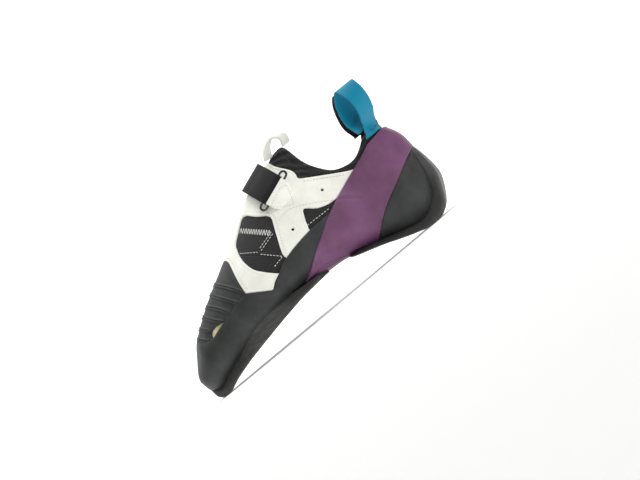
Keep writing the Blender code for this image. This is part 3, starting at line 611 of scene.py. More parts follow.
# Rand: one strip of black climbing rubber round the toe and along both sides, ground smooth at its upper edge and
# pulled back under tension to the band.
RAND_THICKNESS = 0.0020
RAND_EDGE = ((0, 0.0004, 0.0010, 0.0020), (0.78, 0.90, 0.97, 1.0))
RAND_LAP = 0.0004
RAND_SEAM = ((0.350, 0.372), (0.366, 0.328), (0.384, 0.285), (0.402, 0.238), (0.420, 0.190))
rand_seam = side_points(RAND_SEAM, 3)


def rand_mark(points):
    return np.minimum(inside(points, rand_shape), TUCK - inside(points, band_shape))


def rand_height(points, mark):
    far, side = line_distance(points, rand_seam)
    lap = -RAND_LAP * ease(0.5 + far * side / 0.0012) * hump(far, width=0.006)
    return np.interp(mark, *RAND_EDGE) * RAND_THICKNESS + lap + waves(points, size=0.035, seed=5, height=0.00012)


rand = make_skin("toe_rand_rubber", 0, 12.5, 0.0012, rand_mark, rand_height, RAND_EDGE[0][1:], EDGE_SINK)


def spread_range(tree, value, low, high, least, most):
    """A value spread from one range to another."""
    made = add(tree, "ShaderNodeMapRange", {
        "Value": value, "From Min": low, "From Max": high, "To Min": least, "To Max": most})
    return made.outputs["Result"]


# Climbing rubber, calendered: charcoal, satin, with a faint dusty bloom over 15 mm and 0.5 mm grain.
rand_rubber, tree, shader, where = grained(
    "black_rand_rubber", 0.52, 0.015, "#353736", "#292B2A", grain=2000.0, depth=0.00004, Specular_IOR_Level=0.36)
gloss = spread_range(tree, noise(tree, where, 60.0, Detail=4.0), 0.3, 0.7, 0.44, 0.62)
tree.links.new(gloss, shader.inputs["Roughness"])
dress(rand, rand_rubber, "black_rubber", "toe_rand")


# Toe patch: thin moulded rubber over the toes for hooking, pebbled, with six pairs of raised ribs that wrap over
# the top, and a crescent hole above the rand.
TOE_WINDOW = (
    (0.194, 0.371), (0.178, 0.374), (0.160, 0.379), (0.144, 0.374), (0.135, 0.360), (0.128, 0.330), (0.160, 0.340),
)
PATCH_THICKNESS = 0.0016
PATCH_EDGE = ((0, 0.0003, 0.0008, 0.0015), (0.70, 0.86, 0.96, 1.0))
RIBS = (
    ((0.222, 0.640), (0.231, 0.594), (0.264, 0.520), (0.293, 0.433)),
    ((0.190, 0.600), (0.204, 0.561), (0.228, 0.488), (0.259, 0.406)),
    ((0.152, 0.560), (0.166, 0.518), (0.198, 0.459), (0.219, 0.395)),
    ((0.124, 0.525), (0.138, 0.487), (0.164, 0.421), (0.186, 0.375)),
    ((0.092, 0.480), (0.104, 0.442), (0.122, 0.408), (0.134, 0.384)),
    ((0.064, 0.435), (0.078, 0.399), (0.099, 0.363), (0.116, 0.335)),
)
RIB_HEIGHT = 0.0010
RIB_PAIR = 0.0009
RIB_WIDTH = 0.00050

toe_window = side_points(TOE_WINDOW)
rib_lines = [side_points(rib, 3) for rib in RIBS]


def patch_mark(points):
    covered = TUCK - inside(points, rand_shape)
    return np.min((inside(points, patch_shape), covered, -inside(points, toe_window)), axis=0)


def patch_height(points, mark):
    raised = np.max([hump(line_distance(points, line)[0] - RIB_PAIR, RIB_WIDTH) for line in rib_lines], axis=0)
    edge = np.interp(mark, *PATCH_EDGE) * PATCH_THICKNESS
    return edge + RIB_HEIGHT * raised + waves(points, size=0.02, seed=9, height=0.00008)


patch = make_skin("toe_patch_rubber", 0.5, 7.5, 0.0006, patch_mark, patch_height, PATCH_EDGE[0][1:3], EDGE_SINK)

# Moulded rubber with a pebble grain of 0.9 mm, matt.
pebbled_rubber, tree, shader, where = start_material("pebbled_toe_rubber", 0.66, Specular_IOR_Level=0.35)
paint(tree, shader, mottle(tree, where, 0.010, "#333534", "#282A29"))
pebble = add(tree, "ShaderNodeTexVoronoi", {"Vector": where, "Scale": 1150.0, "Randomness": 1.0}, feature="SMOOTH_F1")
bump(tree, shader, pebble.outputs["Distance"], 0.00022)
dress(patch, pebbled_rubber, "black_rubber", "toe_patch")


# Toe lining: the cream microfibre of the vamp, glued under the toe patch and seen through its crescent hole. It is
# fuzzy at 0.3 mm and flecked over 3 mm.
LINING_LAP = 0.0015
LINING_HEIGHT = 0.0004


def lining_mark(points):
    return LINING_LAP + inside(points, toe_window)


def lining_height(points, mark):
    return np.full(len(points), LINING_HEIGHT)


lining = make_skin("toe_lining", 1, 6, 0.0009, lining_mark, lining_height)
cream_lining, *_ = grained(
    "cream_microfibre", 0.9, 0.003, "#D8D3A8", "#C9C496", grain=3000.0, depth=0.0001, detail=3.0, Sheen_Weight=0.2)
dress(lining, cream_lining, "off_white_suede")


# Heel cup: black rubber moulded round the heel and glued on the knit, its upper edge under the band. It is the same
# sheet rubber as the rand.
HEEL_SHAPE = ((0.62, -0.15), (0.66, 0.25), (0.80, 0.42), (0.95, 0.56), (1.2, 0.56), (1.2, -0.15))
HEEL_THICKNESS = 0.0020
HEEL_EDGE = ((0, 0.0004, 0.0012), (0.78, 0.86, 1.0))
heel_shape = side_points(HEEL_SHAPE)


def heel_mark(points):
    return np.minimum(inside(points, heel_shape), TUCK - inside(points, band_shape))


def heel_height(points, mark):
    return np.interp(mark, *HEEL_EDGE) * HEEL_THICKNESS + waves(points, size=0.04, seed=2, height=0.0001)


heel = make_skin("heel_cup_rubber", 9, LAST_ROW, 0.0014, heel_mark, heel_height, HEEL_EDGE[0][1:], EDGE_SINK)
dress(heel, rand_rubber, "black_rubber", "heel_cup")


# Tension band: one piece of purple rubber pulled round the back of the heel, down both sides and under the arch,
# where its lower edge folds over.
BAND_THICKNESS = 0.0026
BAND_EDGE = ((0, 0.0003, 0.0008, 0.0016), (0.84, 0.92, 0.98, 1.0))
ARCH_FOLD = (
    (0.430, 0.224), (0.450, 0.234), (0.483, 0.248), (0.516, 0.256),
    (0.557, 0.252), (0.586, 0.240), (0.606, 0.228), (0.650, 0.200),
)
BAND_CREASE = ((0.650, 0.530), (0.673, 0.518), (0.690, 0.505), (0.704, 0.487), (0.725, 0.456), (0.745, 0.425))
arch_fold = side_points(ARCH_FOLD, 3)
band_crease = side_points(BAND_CREASE, 3)


def band_mark(points):
    return inside(points, band_shape)


def band_height(points, mark):
    far, _ = line_distance(points, arch_fold)
    fold = 0.0004 * hump(far - 0.002, width=0.0012) - 0.0011 * hump(far, width=0.0006)
    far, side = line_distance(points, band_crease)
    crease = 0.0002 * hump(far * side - 0.0022, width=0.0016) - 0.0003 * hump(far, width=0.0008)
    edge = np.interp(mark, *BAND_EDGE) * BAND_THICKNESS
    return edge + fold + crease + waves(points, size=0.045, seed=4, height=0.00014)


band = make_skin("tension_band_rubber", 7, LAST_ROW, 0.0010, band_mark, band_height, BAND_EDGE[0][1:], EDGE_SINK)

# Purple climbing rubber: even satin, a little darker in soft clouds 30 mm across, with 0.6 mm grain.
purple_rubber, *_ = grained(
    "purple_band_rubber", 0.5, 0.030, "#764A70", "#623959", grain=1800.0, depth=0.00003, Specular_IOR_Level=0.4)
dress(band, purple_rubber, "purple_rubber", "tension_band")


# Soles: two blocks of climbing rubber, ground to shape at the edge after gluing. Each is lofted under the last from
# its table and hollowed by it.
SOLE_DROP = 0.0068
SOLE_BEVEL = 0.0012
SOLE_PROUD = 0.0006
SOLE_MARGIN = 0.0028
SOLE_LEAN = 0.0008
SOLE_SEAT = 0.0016
# A sharp fall of the crown towards the edge, and a side that stands steeper at its foot.
CROWN_FALL = 2.5
SIDE_CURVE = 1.15
TOE_RISE = 0.06
SOLE_ARRIS = 0.00025
SOLE_SECTIONS = 8
HOLLOW_STEP = 0.0022
FOREFOOT_SOLE = np.array((
    # row of the last, rise, drop, crown, width
    (0.45, -0.30, 1.30, 0.40, 0.60),
    (0.7, -0.12, 1.36, 0.28, 0.84),
    (1.0, -0.05, 1.27, 0.16, 0.95),
    (1.5, 0.0, 1.18, 0.08, 0.98),
    (2.0, 0.01, 1.10, 0.05, 0.98),
    (3.0, 0.03, 1.05, 0.05, 0.98),
    (4.0, 0.07, 1.03, 0.05, 0.98),
    (5.0, 0.12, 1.00, 0.05, 0.98),
    (6.0, 0.09, 0.98, 0.05, 0.97),
    (7.0, 0.01, 0.94, 0.05, 0.93),
    (7.5, 0.003, 0.76, 0.05, 0.84),
    (7.85, 0.001, 0.58, 0.05, 0.70),
    (8.05, 0.001, 0.50, 0.04, 0.52),
))
HEEL_SOLE = np.array((
    (8.95, 0.002, 0.66, 0.04, 0.44),
    (9.1, 0.004, 0.78, 0.05, 0.60),
    (9.4, 0.008, 0.88, 0.05, 0.74),
    (10.0, 0.012, 0.94, 0.05, 0.82),
    (11.0, 0.020, 1.06, 0.06, 0.84),
    (12.0, 0.025, 1.12, 0.10, 0.82),
    (12.6, 0.030, 1.16, 0.18, 0.79),
    (13.0, 0.032, 1.20, 0.26, 0.76),
    (13.5, 0.036, 1.24, 0.40, 0.72),
    (14.0, 0.040, 1.34, 0.50, 0.68),
    (14.5, 0.042, 1.36, 0.54, 0.64),
    (15.0, 0.042, 1.18, 0.46, 0.58),
    (15.25, 0.040, 0.96, 0.32, 0.53),
    (15.42, 0.036, 0.74, 0.20, 0.45),
    (15.52, 0.032, 0.58, 0.12, 0.35),
    (15.58, 0.030, 0.46, 0.08, 0.22),
))
# Half a section from the middle of the ground face out to its edge, rounded there, and up the side.
SOLE_ACROSS = (0.0, 0.14, 0.28, 0.42, 0.56, 0.70, 0.82, 0.92, 1.0)
SOLE_ROUND = tuple(math.radians(angle) for angle in (15, 35, 55, 75, 90))
HEEL_ROUND = 0.0042
HEEL_ROUND_ROWS = (11.5, 14.0)
SOLE_UP = (0.12, 0.3, 0.5, 0.7, 0.86, 0.95, 1.0)


def spread_at(widest, below, above, height):
    """How wide a section of the last is at a share of its height."""
    if height > widest:
        return (1 - ((height - widest) / (1 - widest)) ** above) ** (1 / above)
    return (1 - (1 - height / widest) ** below) ** (1 / below)


def sole_ring(line, least):
    """The points of one section of a sole, from the lateral top edge under the foot to the medial one."""
    row, rise, drop, crown, width = line
    part = smooth_rows(LAST_SECTIONS, np.array(row))
    low = np.array(((part[2] - 0.5) * LENGTH, 0.0, part[3] * INSTEP_HEIGHT))
    high = np.array(((part[0] - 0.5) * LENGTH, 0.0, part[1] * INSTEP_HEIGHT))
    up = (high - low) / np.linalg.norm(high - low)
    tall = np.linalg.norm(high - low)
    from_row, to_row = HEEL_ROUND_ROWS
    round_by = SOLE_BEVEL + (HEEL_ROUND - SOLE_BEVEL) * ease((row - from_row) / (to_row - from_row))
    middle = part[5] * BALL_WIDTH
    corner = -(drop - crown) * SOLE_DROP
    ring = []
    for edge, sign in ((part[4], -1), (part[6], 1)):
        half = abs(edge - part[5]) * BALL_WIDTH
        side = half * width + SOLE_MARGIN
        held = half * spread_at(part[7], part[8], part[9], max(rise, least)) + RAND_THICKNESS + SOLE_PROUD
        top = min(held, side - SOLE_LEAN) if rise < TOE_RISE else held
        flat = side - round_by
        points = [(flat * share, -(drop - crown * share ** CROWN_FALL) * SOLE_DROP) for share in SOLE_ACROSS]
        points += [(flat + round_by * math.sin(turn), corner + round_by * (1 - math.cos(turn))) for turn in SOLE_ROUND]
        x, z = points[-1]
        points += [(x + (top - x) * share ** SIDE_CURVE, z + (rise * tall - z) * share) for share in SOLE_UP]
        half_ring = [(middle + sign * across, depth) for across, depth in points]
        ring += half_ring[::-1] if sign < 0 else half_ring[1:]
    return np.array([low + up * depth + np.array((0.0, across, 0.0)) for across, depth in ring]) + CENTRING


def make_active(piece):
    """Selects a piece alone and makes it the active one."""
    bpy.ops.object.select_all(action="DESELECT")
    piece.select_set(True)
    bpy.context.view_layer.objects.active = piece


def change_shape(piece, kind, **values):
    """Gives the active piece a modifier with its values and applies it."""
    change = piece.modifiers.new("change", kind)
    for key, value in values.items():
        setattr(change, key, value)
    bpy.ops.object.modifier_apply(modifier="change")


def loft(name, rings):
    """A closed solid through rings of points."""
    rows, count = rings.shape[:2]
    faces = ring_quads(rows, count).tolist()
    faces.append(tuple(range(count)))
    faces.append(tuple(range(rows * count - 1, (rows - 1) * count - 1, -1)))
    mesh = bpy.data.meshes.new(name)
    mesh.from_pydata(rings.reshape(-1, 3).tolist(), [], faces)
    return new_object(name, mesh)


def make_sole(name, table, least):
    """A lofted block hollowed by the last and ground flat where it stands, its ground edges marked as arrises."""
    sections = smooth_rows(table, np.arange(0, len(table) - 0.999, 1 / SOLE_SECTIONS))
    made = loft(name, np.array([sole_ring(line, least) for line in sections]))
    points, normals = last_grid(0, LAST_ROW, HOLLOW_STEP)
    hollow = loft("last_hollow", points + normals * SOLE_SEAT)
    bpy.ops.object.select_all(action="DESELECT")
    bpy.ops.mesh.primitive_cube_add(size=1, location=(0, 0, -0.05))
    ground = bpy.context.object
    ground.scale = (0.4, 0.4, 0.1)
    bpy.ops.object.transform_apply(scale=True, location=True)
    make_active(made)
    for cutter in (hollow, ground):
        change_shape(made, "BOOLEAN", operation="DIFFERENCE", solver="EXACT", object=cutter)
        bpy.data.objects.remove(cutter)
    # The bevel's faces take a second, empty material slot, which tells them apart.
    for _ in range(2):
        made.data.materials.append(None)
    change_shape(
        made, "BEVEL", width=SOLE_ARRIS, segments=2, limit_method="ANGLE", angle_limit=math.radians(45), material=1)
    worn = made.data.attributes.new("arris", "FLOAT", "FACE")
    worn.data.foreach_set("value", [float(face.material_index) for face in made.data.polygons])
    for face in made.data.polygons:
        face.material_index = 0
    made.data.shade_smooth()
    even_normals(made.data)
    return made


def calculate(tree, operation, *values):
    """A number worked out from others."""
    return add(tree, "ShaderNodeMath", dict(enumerate(values)), operation=operation).outputs[0]


def painted_arris_highlight(tree, where, color):
    """The ground edges of a block are paler than its faces, here and there: a painted highlight on the arrises, broken
    into patches by noise.
    """
    edge = add(tree, "ShaderNodeAttribute", attribute_name="arris")
    highlight_patches = spread_range(tree, noise(tree, where, 90.0, Detail=2.0), 0.35, 0.60, 0.15, 0.95)
    amount = calculate(tree, "MULTIPLY", edge.outputs["Fac"], highlight_patches)
    pale = add(tree, "ShaderNodeMixRGB", {"Fac": amount, "Color1": color, "Color2": to_linear("#9A9B97")})
    return pale.outputs["Color"]


# Ground rubber: dark grey, sanded along the edge so that the side is streaked lengthways, in streaks 25 mm long and
# 1.1 mm high.
sole_rubber, tree, shader, where = start_material("ground_sole_rubber", 0.5, Specular_IOR_Level=0.45)
long_way = add(tree, "ShaderNodeMapping", {
    "Vector": where, "Rotation": (0.0, math.radians(14), 0.0), "Scale": (40.0, 300.0, 900.0)})
streak = noise(tree, long_way.outputs["Vector"], 1.0, Detail=4.0, Roughness=0.6)
# The paler ground edges are a painted highlight.
paint(tree, shader, painted_arris_highlight(tree, where, ramp(tree, streak, 0.35, "#373837", 0.68, "#504F4D")))
bump(tree, shader, streak, 0.00012)
dress(make_sole("forefoot_sole_rubber", FOREFOOT_SOLE, TOE_RISE), sole_rubber, "sole_rubber", "forefoot_sole")

# The heel's block is the same rubber, finer ground, so its side is even, with 0.7 mm grain.
heel_rubber, tree, shader, where = start_material("fine_ground_heel_rubber", 0.45, Specular_IOR_Level=0.45)
# The paler ground edges are a painted highlight here too.
paint(tree, shader, painted_arris_highlight(tree, where, mottle(tree, where, 0.012, "#454644", "#3A3B3A")))
bump(tree, shader, noise(tree, where, 1500.0, Detail=3.0), 0.00005)
dress(make_sole("heel_sole_rubber", HEEL_SOLE, 0.0005), heel_rubber, "sole_rubber", "heel_sole")


# Stitches: short lengths of thread standing out of the cloth, off-white and tonal round every edge of the suede,
# white where the window panels are seamed, and a white zigzag across the vamp.
STITCH_PITCH = 0.0023
STITCH_LENGTH = 0.0016
STITCH_RADIUS = 0.00017
STITCH_SIDES = 6
STITCH_RINGS = (
    # place along the stitch in lengths, thickness and lift in radii
    (-0.50, 0.35, -0.90), (-0.42, 0.80, 0.00), (-0.20, 1.00, 0.75),
    (0.20, 1.00, 0.75), (0.42, 0.80, 0.00), (0.50, 0.35, -0.90),
)
SHORTEST_SEAM = 0.030
SEAM_SAMPLE = 0.0004
BESIDE_SHOE = 0.2


def lengths_along(points):
    """How far along its line each point lies."""
    return np.append(0, np.cumsum(np.linalg.norm(np.diff(points, axis=0), axis=1)))


def mark_lines(piece, level):
    """The lines on a skin where its mark has a level, each as points with their outward normals."""
    mesh = piece.data
    values = np.empty(len(mesh.vertices), np.float32)
    mesh.attributes["mark"].data.foreach_get("value", values)
    on_line = set(np.nonzero(np.abs(values - level) < 1e-6)[0].tolist())
    beside = {k: [] for k in on_line}
    for edge in mesh.edges:
        a, b = edge.vertices
        if a in on_line and b in on_line:
            beside[a].append(b)
            beside[b].append(a)
    lines, seen = [], set()
    for start in sorted(on_line, key=lambda k: (len(beside[k]) != 1, k)):
        if start in seen:
            continue
        line, here = [start], start
        seen.add(start)
        while True:
            ahead = [k for k in beside[here] if k not in seen]
            if not ahead:
                break
            here = ahead[0]
            seen.add(here)
            line.append(here)
        points = np.array([mesh.vertices[k].co for k in line])
        if lengths_along(points)[-1] > SHORTEST_SEAM:
            lines.append((points, np.array([mesh.attributes["out"].data[k].vector for k in line])))
    return lines


def tree_from(piece):
    """A search tree of a piece's faces."""
    return BVHTree.FromPolygons([v.co for v in piece.data.vertices], [p.vertices for p in piece.data.polygons])


def side_hit(under, x, z, sign):
    """The outermost point of some pieces at a side-view place, on the lateral side for a sign of -1, and its normal."""
    start, ahead = Vector((x, sign * BESIDE_SHOE, z)), Vector((0.0, -sign, 0.0))
    hits = [tree.ray_cast(start, ahead)[:2] for tree in under]
    spot, out = max(hits, key=lambda hit: sign * hit[0].y if hit[0] else -math.inf)
    return spot and (spot, out if out.y * sign > 0 else -out)


def side_line(shares, smooth, sign, under):
    """A side-view line laid on the pieces under it, as points with normals."""
    shape = side_points(shares, smooth)
    run = lengths_along(shape)
    goal = np.linspace(0, run[-1], max(int(run[-1] / SEAM_SAMPLE), 2))
    hits = [side_hit(under, *(np.interp(one, run, shape[:, axis]) for axis in (0, 1)), sign) for one in goal]
    hits = [hit for hit in hits if hit]
    return np.array([spot for spot, _ in hits]), np.array([out for _, out in hits])


def sew(name, lines, material, slot, pitch=STITCH_PITCH, length=STITCH_LENGTH, radius=STITCH_RADIUS):
    """Stitches along lines, all in one mesh: rounded ends, sunk by their feet and arched in the middle."""
    vertices, faces = [], []
    places = np.array(STITCH_RINGS)[:, 0]
    quads = ring_quads(len(places), STITCH_SIDES)[:, (0, 3, 2, 1)]
    last = len(quads)
    for points, normals in lines:
        run = lengths_along(points)
        count = max(int(run[-1] / pitch), 1)
        for k in range(count):
            centre = (k + 0.5) * run[-1] / count
            ends = centre + places * length
            spots = np.stack([np.interp(ends, run, points[:, axis]) for axis in range(3)], -1)
            out = np.array([np.interp(centre, run, normals[:, axis]) for axis in range(3)])
            out /= np.linalg.norm(out)
            ahead = spots[-1] - spots[0]
            if np.linalg.norm(ahead) < 1e-7:
                continue
            ahead /= np.linalg.norm(ahead)
            wide = np.cross(out, ahead)
            base = len(vertices)
            for spot, (_, thick, lift) in zip(spots, STITCH_RINGS):
                for side in range(STITCH_SIDES):
                    angle = 2 * math.pi * side / STITCH_SIDES
                    up, across = lift + thick * math.sin(angle), thick * math.cos(angle)
                    vertices.append(spot + (out * up + wide * across) * radius)
            faces += (base + quads).tolist()
            faces.append(tuple(range(base + STITCH_SIDES - 1, base - 1, -1)))
            faces.append(tuple(range(base + last, base + last + STITCH_SIDES)))
    mesh = bpy.data.meshes.new(name)
    mesh.from_pydata([tuple(v) for v in vertices], [], faces)
    mesh.shade_smooth()
    dress(new_object(name, mesh), material, slot)


def away_from(line, shapes, distance):
    """The runs of a line that keep a distance from the pieces laid over it."""
    points, normals = line
    clear = np.all([inside(points, shape) < -distance for shape in shapes], axis=0)
    runs, start = [], None
    for k, good in enumerate(np.append(clear, False)):
        if good and start is None:
            start = k
        elif not good and start is not None:
            if k - start > 3:
                runs.append((points[start:k], normals[start:k]))
            start = None
    return runs


# Thread: bonded polyester, a soft sheen, its twist too fine to draw at full size, so drawn 0.7 mm apart.
def thread(name, light, dark):
    made, tree, shader, where = start_material(name, 0.7, Sheen_Weight=0.2)
    paint(tree, shader, mottle(tree, where, 0.002, light, dark))
    twist = add(tree, "ShaderNodeTexWave", {"Vector": where, "Scale": 500.0}, bands_direction="DIAGONAL")
    bump(tree, shader, twist.outputs["Fac"], 0.00004)
    return made


tonal_thread = thread("off_white_thread", "#C4C4B5", "#AEAE9F")
white_thread = thread("white_thread", "#F2F2EE", "#DEDEDA")
edge_seams = []
for line in mark_lines(suede, SEAM_INSET):
    edge_seams += away_from(line, (band_shape,), 0.0040)
sew("suede_edge_stitches", edge_seams, tonal_thread, "off_white_suede")

black_thread = thread("black_thread", "#1C1C1C", "#101010")
collar_seams = []
for line in mark_lines(outer_knit, COLLAR_SEAM):
    collar_seams += away_from(line, (band_shape, overlay_shape), 0.0015)
sew("collar_stitches", collar_seams, black_thread, "black_textile", pitch=0.0026, length=0.0019, radius=0.00018)
bpy.data.objects.remove(outer_knit)

suede_tree, panel_tree = tree_from(suede), tree_from(panels)

WINDOW_SEAMS = (
    ((0.478, 0.603), (0.413, 0.566)), ((0.478, 0.618), (0.416, 0.583)), ((0.358, 0.641), (0.406, 0.571)),
    ((0.406, 0.555), (0.455, 0.454)), ((0.455, 0.454), (0.415, 0.436)), ((0.658, 0.497), (0.571, 0.503)),
)
ZIGZAG = ((0.403, 0.751), (0.472, 0.615))
ZIGZAG_COUNT = 12
ZIGZAG_WIDTH = 0.0046
start, end = side_points(ZIGZAG)
over = (end - start) / np.linalg.norm(end - start)
over = np.array((-over[1], over[0])) * ZIGZAG_WIDTH / 2
corners = [
    start + (end - start) * k / (2 * ZIGZAG_COUNT) + over * (1 if k % 2 else -1) for k in range(2 * ZIGZAG_COUNT + 1)
]
window_seams, zigs = [], []
for sign in (-1, 1):
    window_seams += [side_line(seam, 1, sign, [panel_tree]) for seam in WINDOW_SEAMS]
    for a, b in zip(corners, corners[1:]):
        leg = [side_hit([panel_tree], *(a + (b - a) * share), sign) for share in (0.0, 0.5, 1.0)]
        if all(leg):
            zigs.append(tuple(np.array(part) for part in zip(*leg)))
sew("window_seam_stitches", window_seams, white_thread, "off_white_suede", pitch=0.0024, length=0.0018, radius=0.00024)
sew("vamp_zigzag_stitches", zigs, white_thread, "off_white_suede", pitch=0.02, length=0.0050, radius=0.00024)


# Strap: 24 mm hook-and-loop webbing sewn to the inner side, drawn through the ring on the outer side and folded
# back over itself. The tab that holds the ring is suede, folded round the ring's other bar.
STRAP_WIDTH = 0.024
STRAP_THICKNESS = 0.0015
STRAP_LAYER_GAP = 0.0010
STRAP_LIFT = 0.0004
RING_WIRE_RADIUS = 0.0009
RING_LENGTH = 0.0330
TAB_WIDTH = 0.0225
TAB_THICKNESS = 0.0012
SEAT = 0.0003
STRAP_MIDDLE = (0.546, 0.895)
STRAP_ACROSS = np.array((1.0, 0.0, 0.36)) / math.hypot(1.0, 0.36)
STRAP_TURNS = (0.690, 0.392, 0.665)
TAB_TURNS = (0.364, 0.3775, 0.322)
TAB_FREE = 0.0035
TAB_MERGE = 0.0080
TAB_TAPER = 0.30
FEET_STEP = 0.0010
FOLD_STEPS = 12
FOLD_SETTLES = 3 / 14


def side_place(x_share, z_share, y=0.0):
    """A side-view place as a point."""
    return np.array(((x_share - 0.5) * LENGTH, y, z_share * INSTEP_HEIGHT)) + CENTRING


def across_instep(turn, offset):
    """The row of the last that the strap's plane, moved sideways, crosses at a turn."""
    rows = np.linspace(4, 15, 441)
    reach = (last_form(rows, turn) - side_place(*STRAP_MIDDLE) - STRAP_ACROSS * offset) @ STRAP_ACROSS
    return float(np.interp(0, reach, rows))


def strap_contact(turn, distance, width):
    """The middle of a straight line across a strip that clears the last by a distance at a turn."""
    row = across_instep(turn, 0.0)
    out = last_normal(row, turn)
    out = out - STRAP_ACROSS * (out @ STRAP_ACROSS)
    out /= np.linalg.norm(out)
    point = last_form(row, turn) + out * distance
    rise = 0.0
    for offset in (-width / 2, -width / 4, width / 4, width / 2):
        at = across_instep(turn, offset)
        beside = last_form(at, turn) + last_normal(at, turn) * distance
        rise = max(rise, (beside - point - STRAP_ACROSS * offset) @ out)
    return point + out * rise, out


def folded_line(turns, heights, steps, width, thickness):
    """The middle line of a strip that lies on the instep, folds round a bar and lies back, and the fold's centre."""
    start, fold, end = turns
    lower, upper_height = heights
    spread = 2 * (RING_WIRE_RADIUS + 1.5 * SEAT) + thickness
    middle = []
    for k in range(steps + 1):
        point, lift = strap_contact(start + (fold - start) * k / steps, lower, width)
        middle.append(point)
    centre = middle[-1] + lift * (spread / 2)
    ahead = middle[-1] - middle[-2]
    ahead = ahead - lift * (ahead @ lift)
    ahead /= np.linalg.norm(ahead)
    for k in range(1, FOLD_STEPS):
        angle = math.pi * k / FOLD_STEPS
        middle.append(centre + (ahead * math.sin(angle) - lift * math.cos(angle)) * (spread / 2))
    for k in range(steps + 1):
        still_up = max(0.0, 1 - (k / steps / FOLD_SETTLES) ** 2)
        height = upper_height + (lower + spread - upper_height) * still_up
        point, _ = strap_contact(fold + (end - fold) * k / steps, height, width)
        middle.append(point)
    return np.array(middle), centre


def make_strip(name, rows, thickness, rounding=0.0003):
    """A strip of webbing from rows of points across it, with its own map in metres, thickened, its edges rounded."""
    rows = np.array(rows)
    length, count = rows.shape[:2]
    grid = np.arange(length * count).reshape(length, count)
    faces = np.stack((grid[:-1, :-1], grid[:-1, 1:], grid[1:, 1:], grid[1:, :-1]), -1).reshape(-1, 4)
    mesh = bpy.data.meshes.new(name)
    mesh.from_pydata(rows.reshape(-1, 3).tolist(), [], faces.tolist())
    along, wide = lengths_along(rows[:, count // 2]), lengths_along(rows[length // 2])
    cloth = mesh.uv_layers.new(name="cloth")
    for corner in mesh.loops:
        r, k = divmod(corner.vertex_index, count)
        cloth.data[corner.index].uv = (wide[k], along[r])
    made = new_object(name, mesh)
    make_active(made)
    change_shape(made, "SOLIDIFY", thickness=thickness, offset=0.0, use_even_offset=True)
    change_shape(made, "BEVEL", width=rounding, segments=2, limit_method="ANGLE", angle_limit=math.radians(50))
    made.data.shade_smooth()
    return made


def smooth_line(points, count):
    """A line of points made smooth and divided evenly."""
    dense = smooth_rows(points, np.linspace(0, len(points) - 1, 800))
    run = lengths_along(dense)
    goal = np.linspace(0, run[-1], count)
    return np.stack([np.interp(goal, run, dense[:, axis]) for axis in range(3)], -1)


def strap_rows(line, width):
    """Rows of points across a strip, all across the instep."""
    columns = np.linspace(-0.5, 0.5, 9)
    return [[point + STRAP_ACROSS * width * share for share in columns] for point in line]


suede_top = SEAT + SUEDE_THICKNESS + SEAT
lower = suede_top + STRAP_THICKNESS / 2 + STRAP_LIFT
heights = (lower, lower + STRAP_THICKNESS + STRAP_LAYER_GAP)
line, near_bar = folded_line(STRAP_TURNS, heights, 28, STRAP_WIDTH, STRAP_THICKNESS)
strap = make_strip("strap_webbing", strap_rows(smooth_line(line, 120), STRAP_WIDTH), STRAP_THICKNESS, 0.0004)
lower = suede_top + TAB_THICKNESS / 2
line, far_bar = folded_line(TAB_TURNS, (lower, lower + TAB_THICKNESS + SEAT), 12, TAB_WIDTH, TAB_THICKNESS)
line = smooth_line(line, 60)
rows = strap_rows(line, TAB_WIDTH)
turned = int(np.linalg.norm(line - far_bar, axis=1).argmin())
gone = lengths_along(line)
# The tab's end is pressed into the suede: each of its points moves towards the last there.
feet, outs = (part.reshape(-1, 3) for part in last_grid(5, 15, FEET_STEP))
for r in range(turned, len(rows)):
    share = ease((gone[r] - gone[turned] - TAB_FREE) / TAB_MERGE)
    for k, point in enumerate(rows[r]):
        point = line[r] + (point - line[r]) * (1.0 - TAB_TAPER * share)
        nearest = np.linalg.norm(feet - point, axis=1).argmin()
        sunk = SUEDE_THICKNESS - TAB_THICKNESS / 2 - SEAT - (point - feet[nearest]) @ outs[nearest]
        rows[r][k] = point + outs[nearest] * sunk * share
tab = make_strip("ring_tab_suede", rows, TAB_THICKNESS)


# The side panel is sewn through the tab in a triangle, and to the vamp along a curve below it.
PANEL_TRIANGLE = (
    (0.604, 0.785), (0.594, 0.713), (0.582, 0.657), (0.541, 0.707),
    (0.525, 0.742), (0.559, 0.772), (0.580, 0.791), (0.604, 0.785),
)
PANEL_CURVE = ((0.515, 0.639), (0.536, 0.651), (0.559, 0.654), (0.583, 0.639), (0.635, 0.584), (0.689, 0.515))
seam_base = [suede_tree, tree_from(tab)]
panel_seams = [
    side_line(seam, smooth, sign, seam_base)
    for sign in (-1, 1) for seam, smooth in ((PANEL_TRIANGLE, 1), (PANEL_CURVE, 4))
]
sew("suede_panel_stitches", panel_seams, tonal_thread, "off_white_suede")


def woven(name, light, dark, roughness, rib, thread, depth, **values):
    """Woven tape: two ribs and two threads to each stated size, along and across the tape's own map."""
    made, tree, shader, where = start_material(name, roughness, **values)
    tape = add(tree, "ShaderNodeUVMap", uv_map="cloth").outputs["UV"]
    split = add(tree, "ShaderNodeSeparateXYZ", {"Vector": tape})
    weft, warp = (
        calculate(tree, "SINE", calculate(tree, "MULTIPLY", split.outputs[axis], 2 * math.pi / size))
        for axis, size in (("Y", rib), ("X", thread))
    )
    height = calculate(tree, "MULTIPLY_ADD", calculate(tree, "MULTIPLY", weft, warp), 0.5, 0.5)
    paint(tree, shader, ramp(tree, height, 0.0, dark, 1.0, light))
    bump(tree, shader, height, depth)
    return made


# Polyamide webbing, black and matt, with ribs 0.7 mm and threads 0.5 mm apart.
black_webbing = woven(
    "black_webbing", "#262626", "#171717", 0.8, rib=0.0014, thread=0.0010, depth=0.00016,
    Specular_IOR_Level=0.2, Sheen_Weight=0.05)
dress(strap, black_webbing, "black_webbing", "strap")
dress(tab, white_suede, "off_white_suede", "ring_tab")


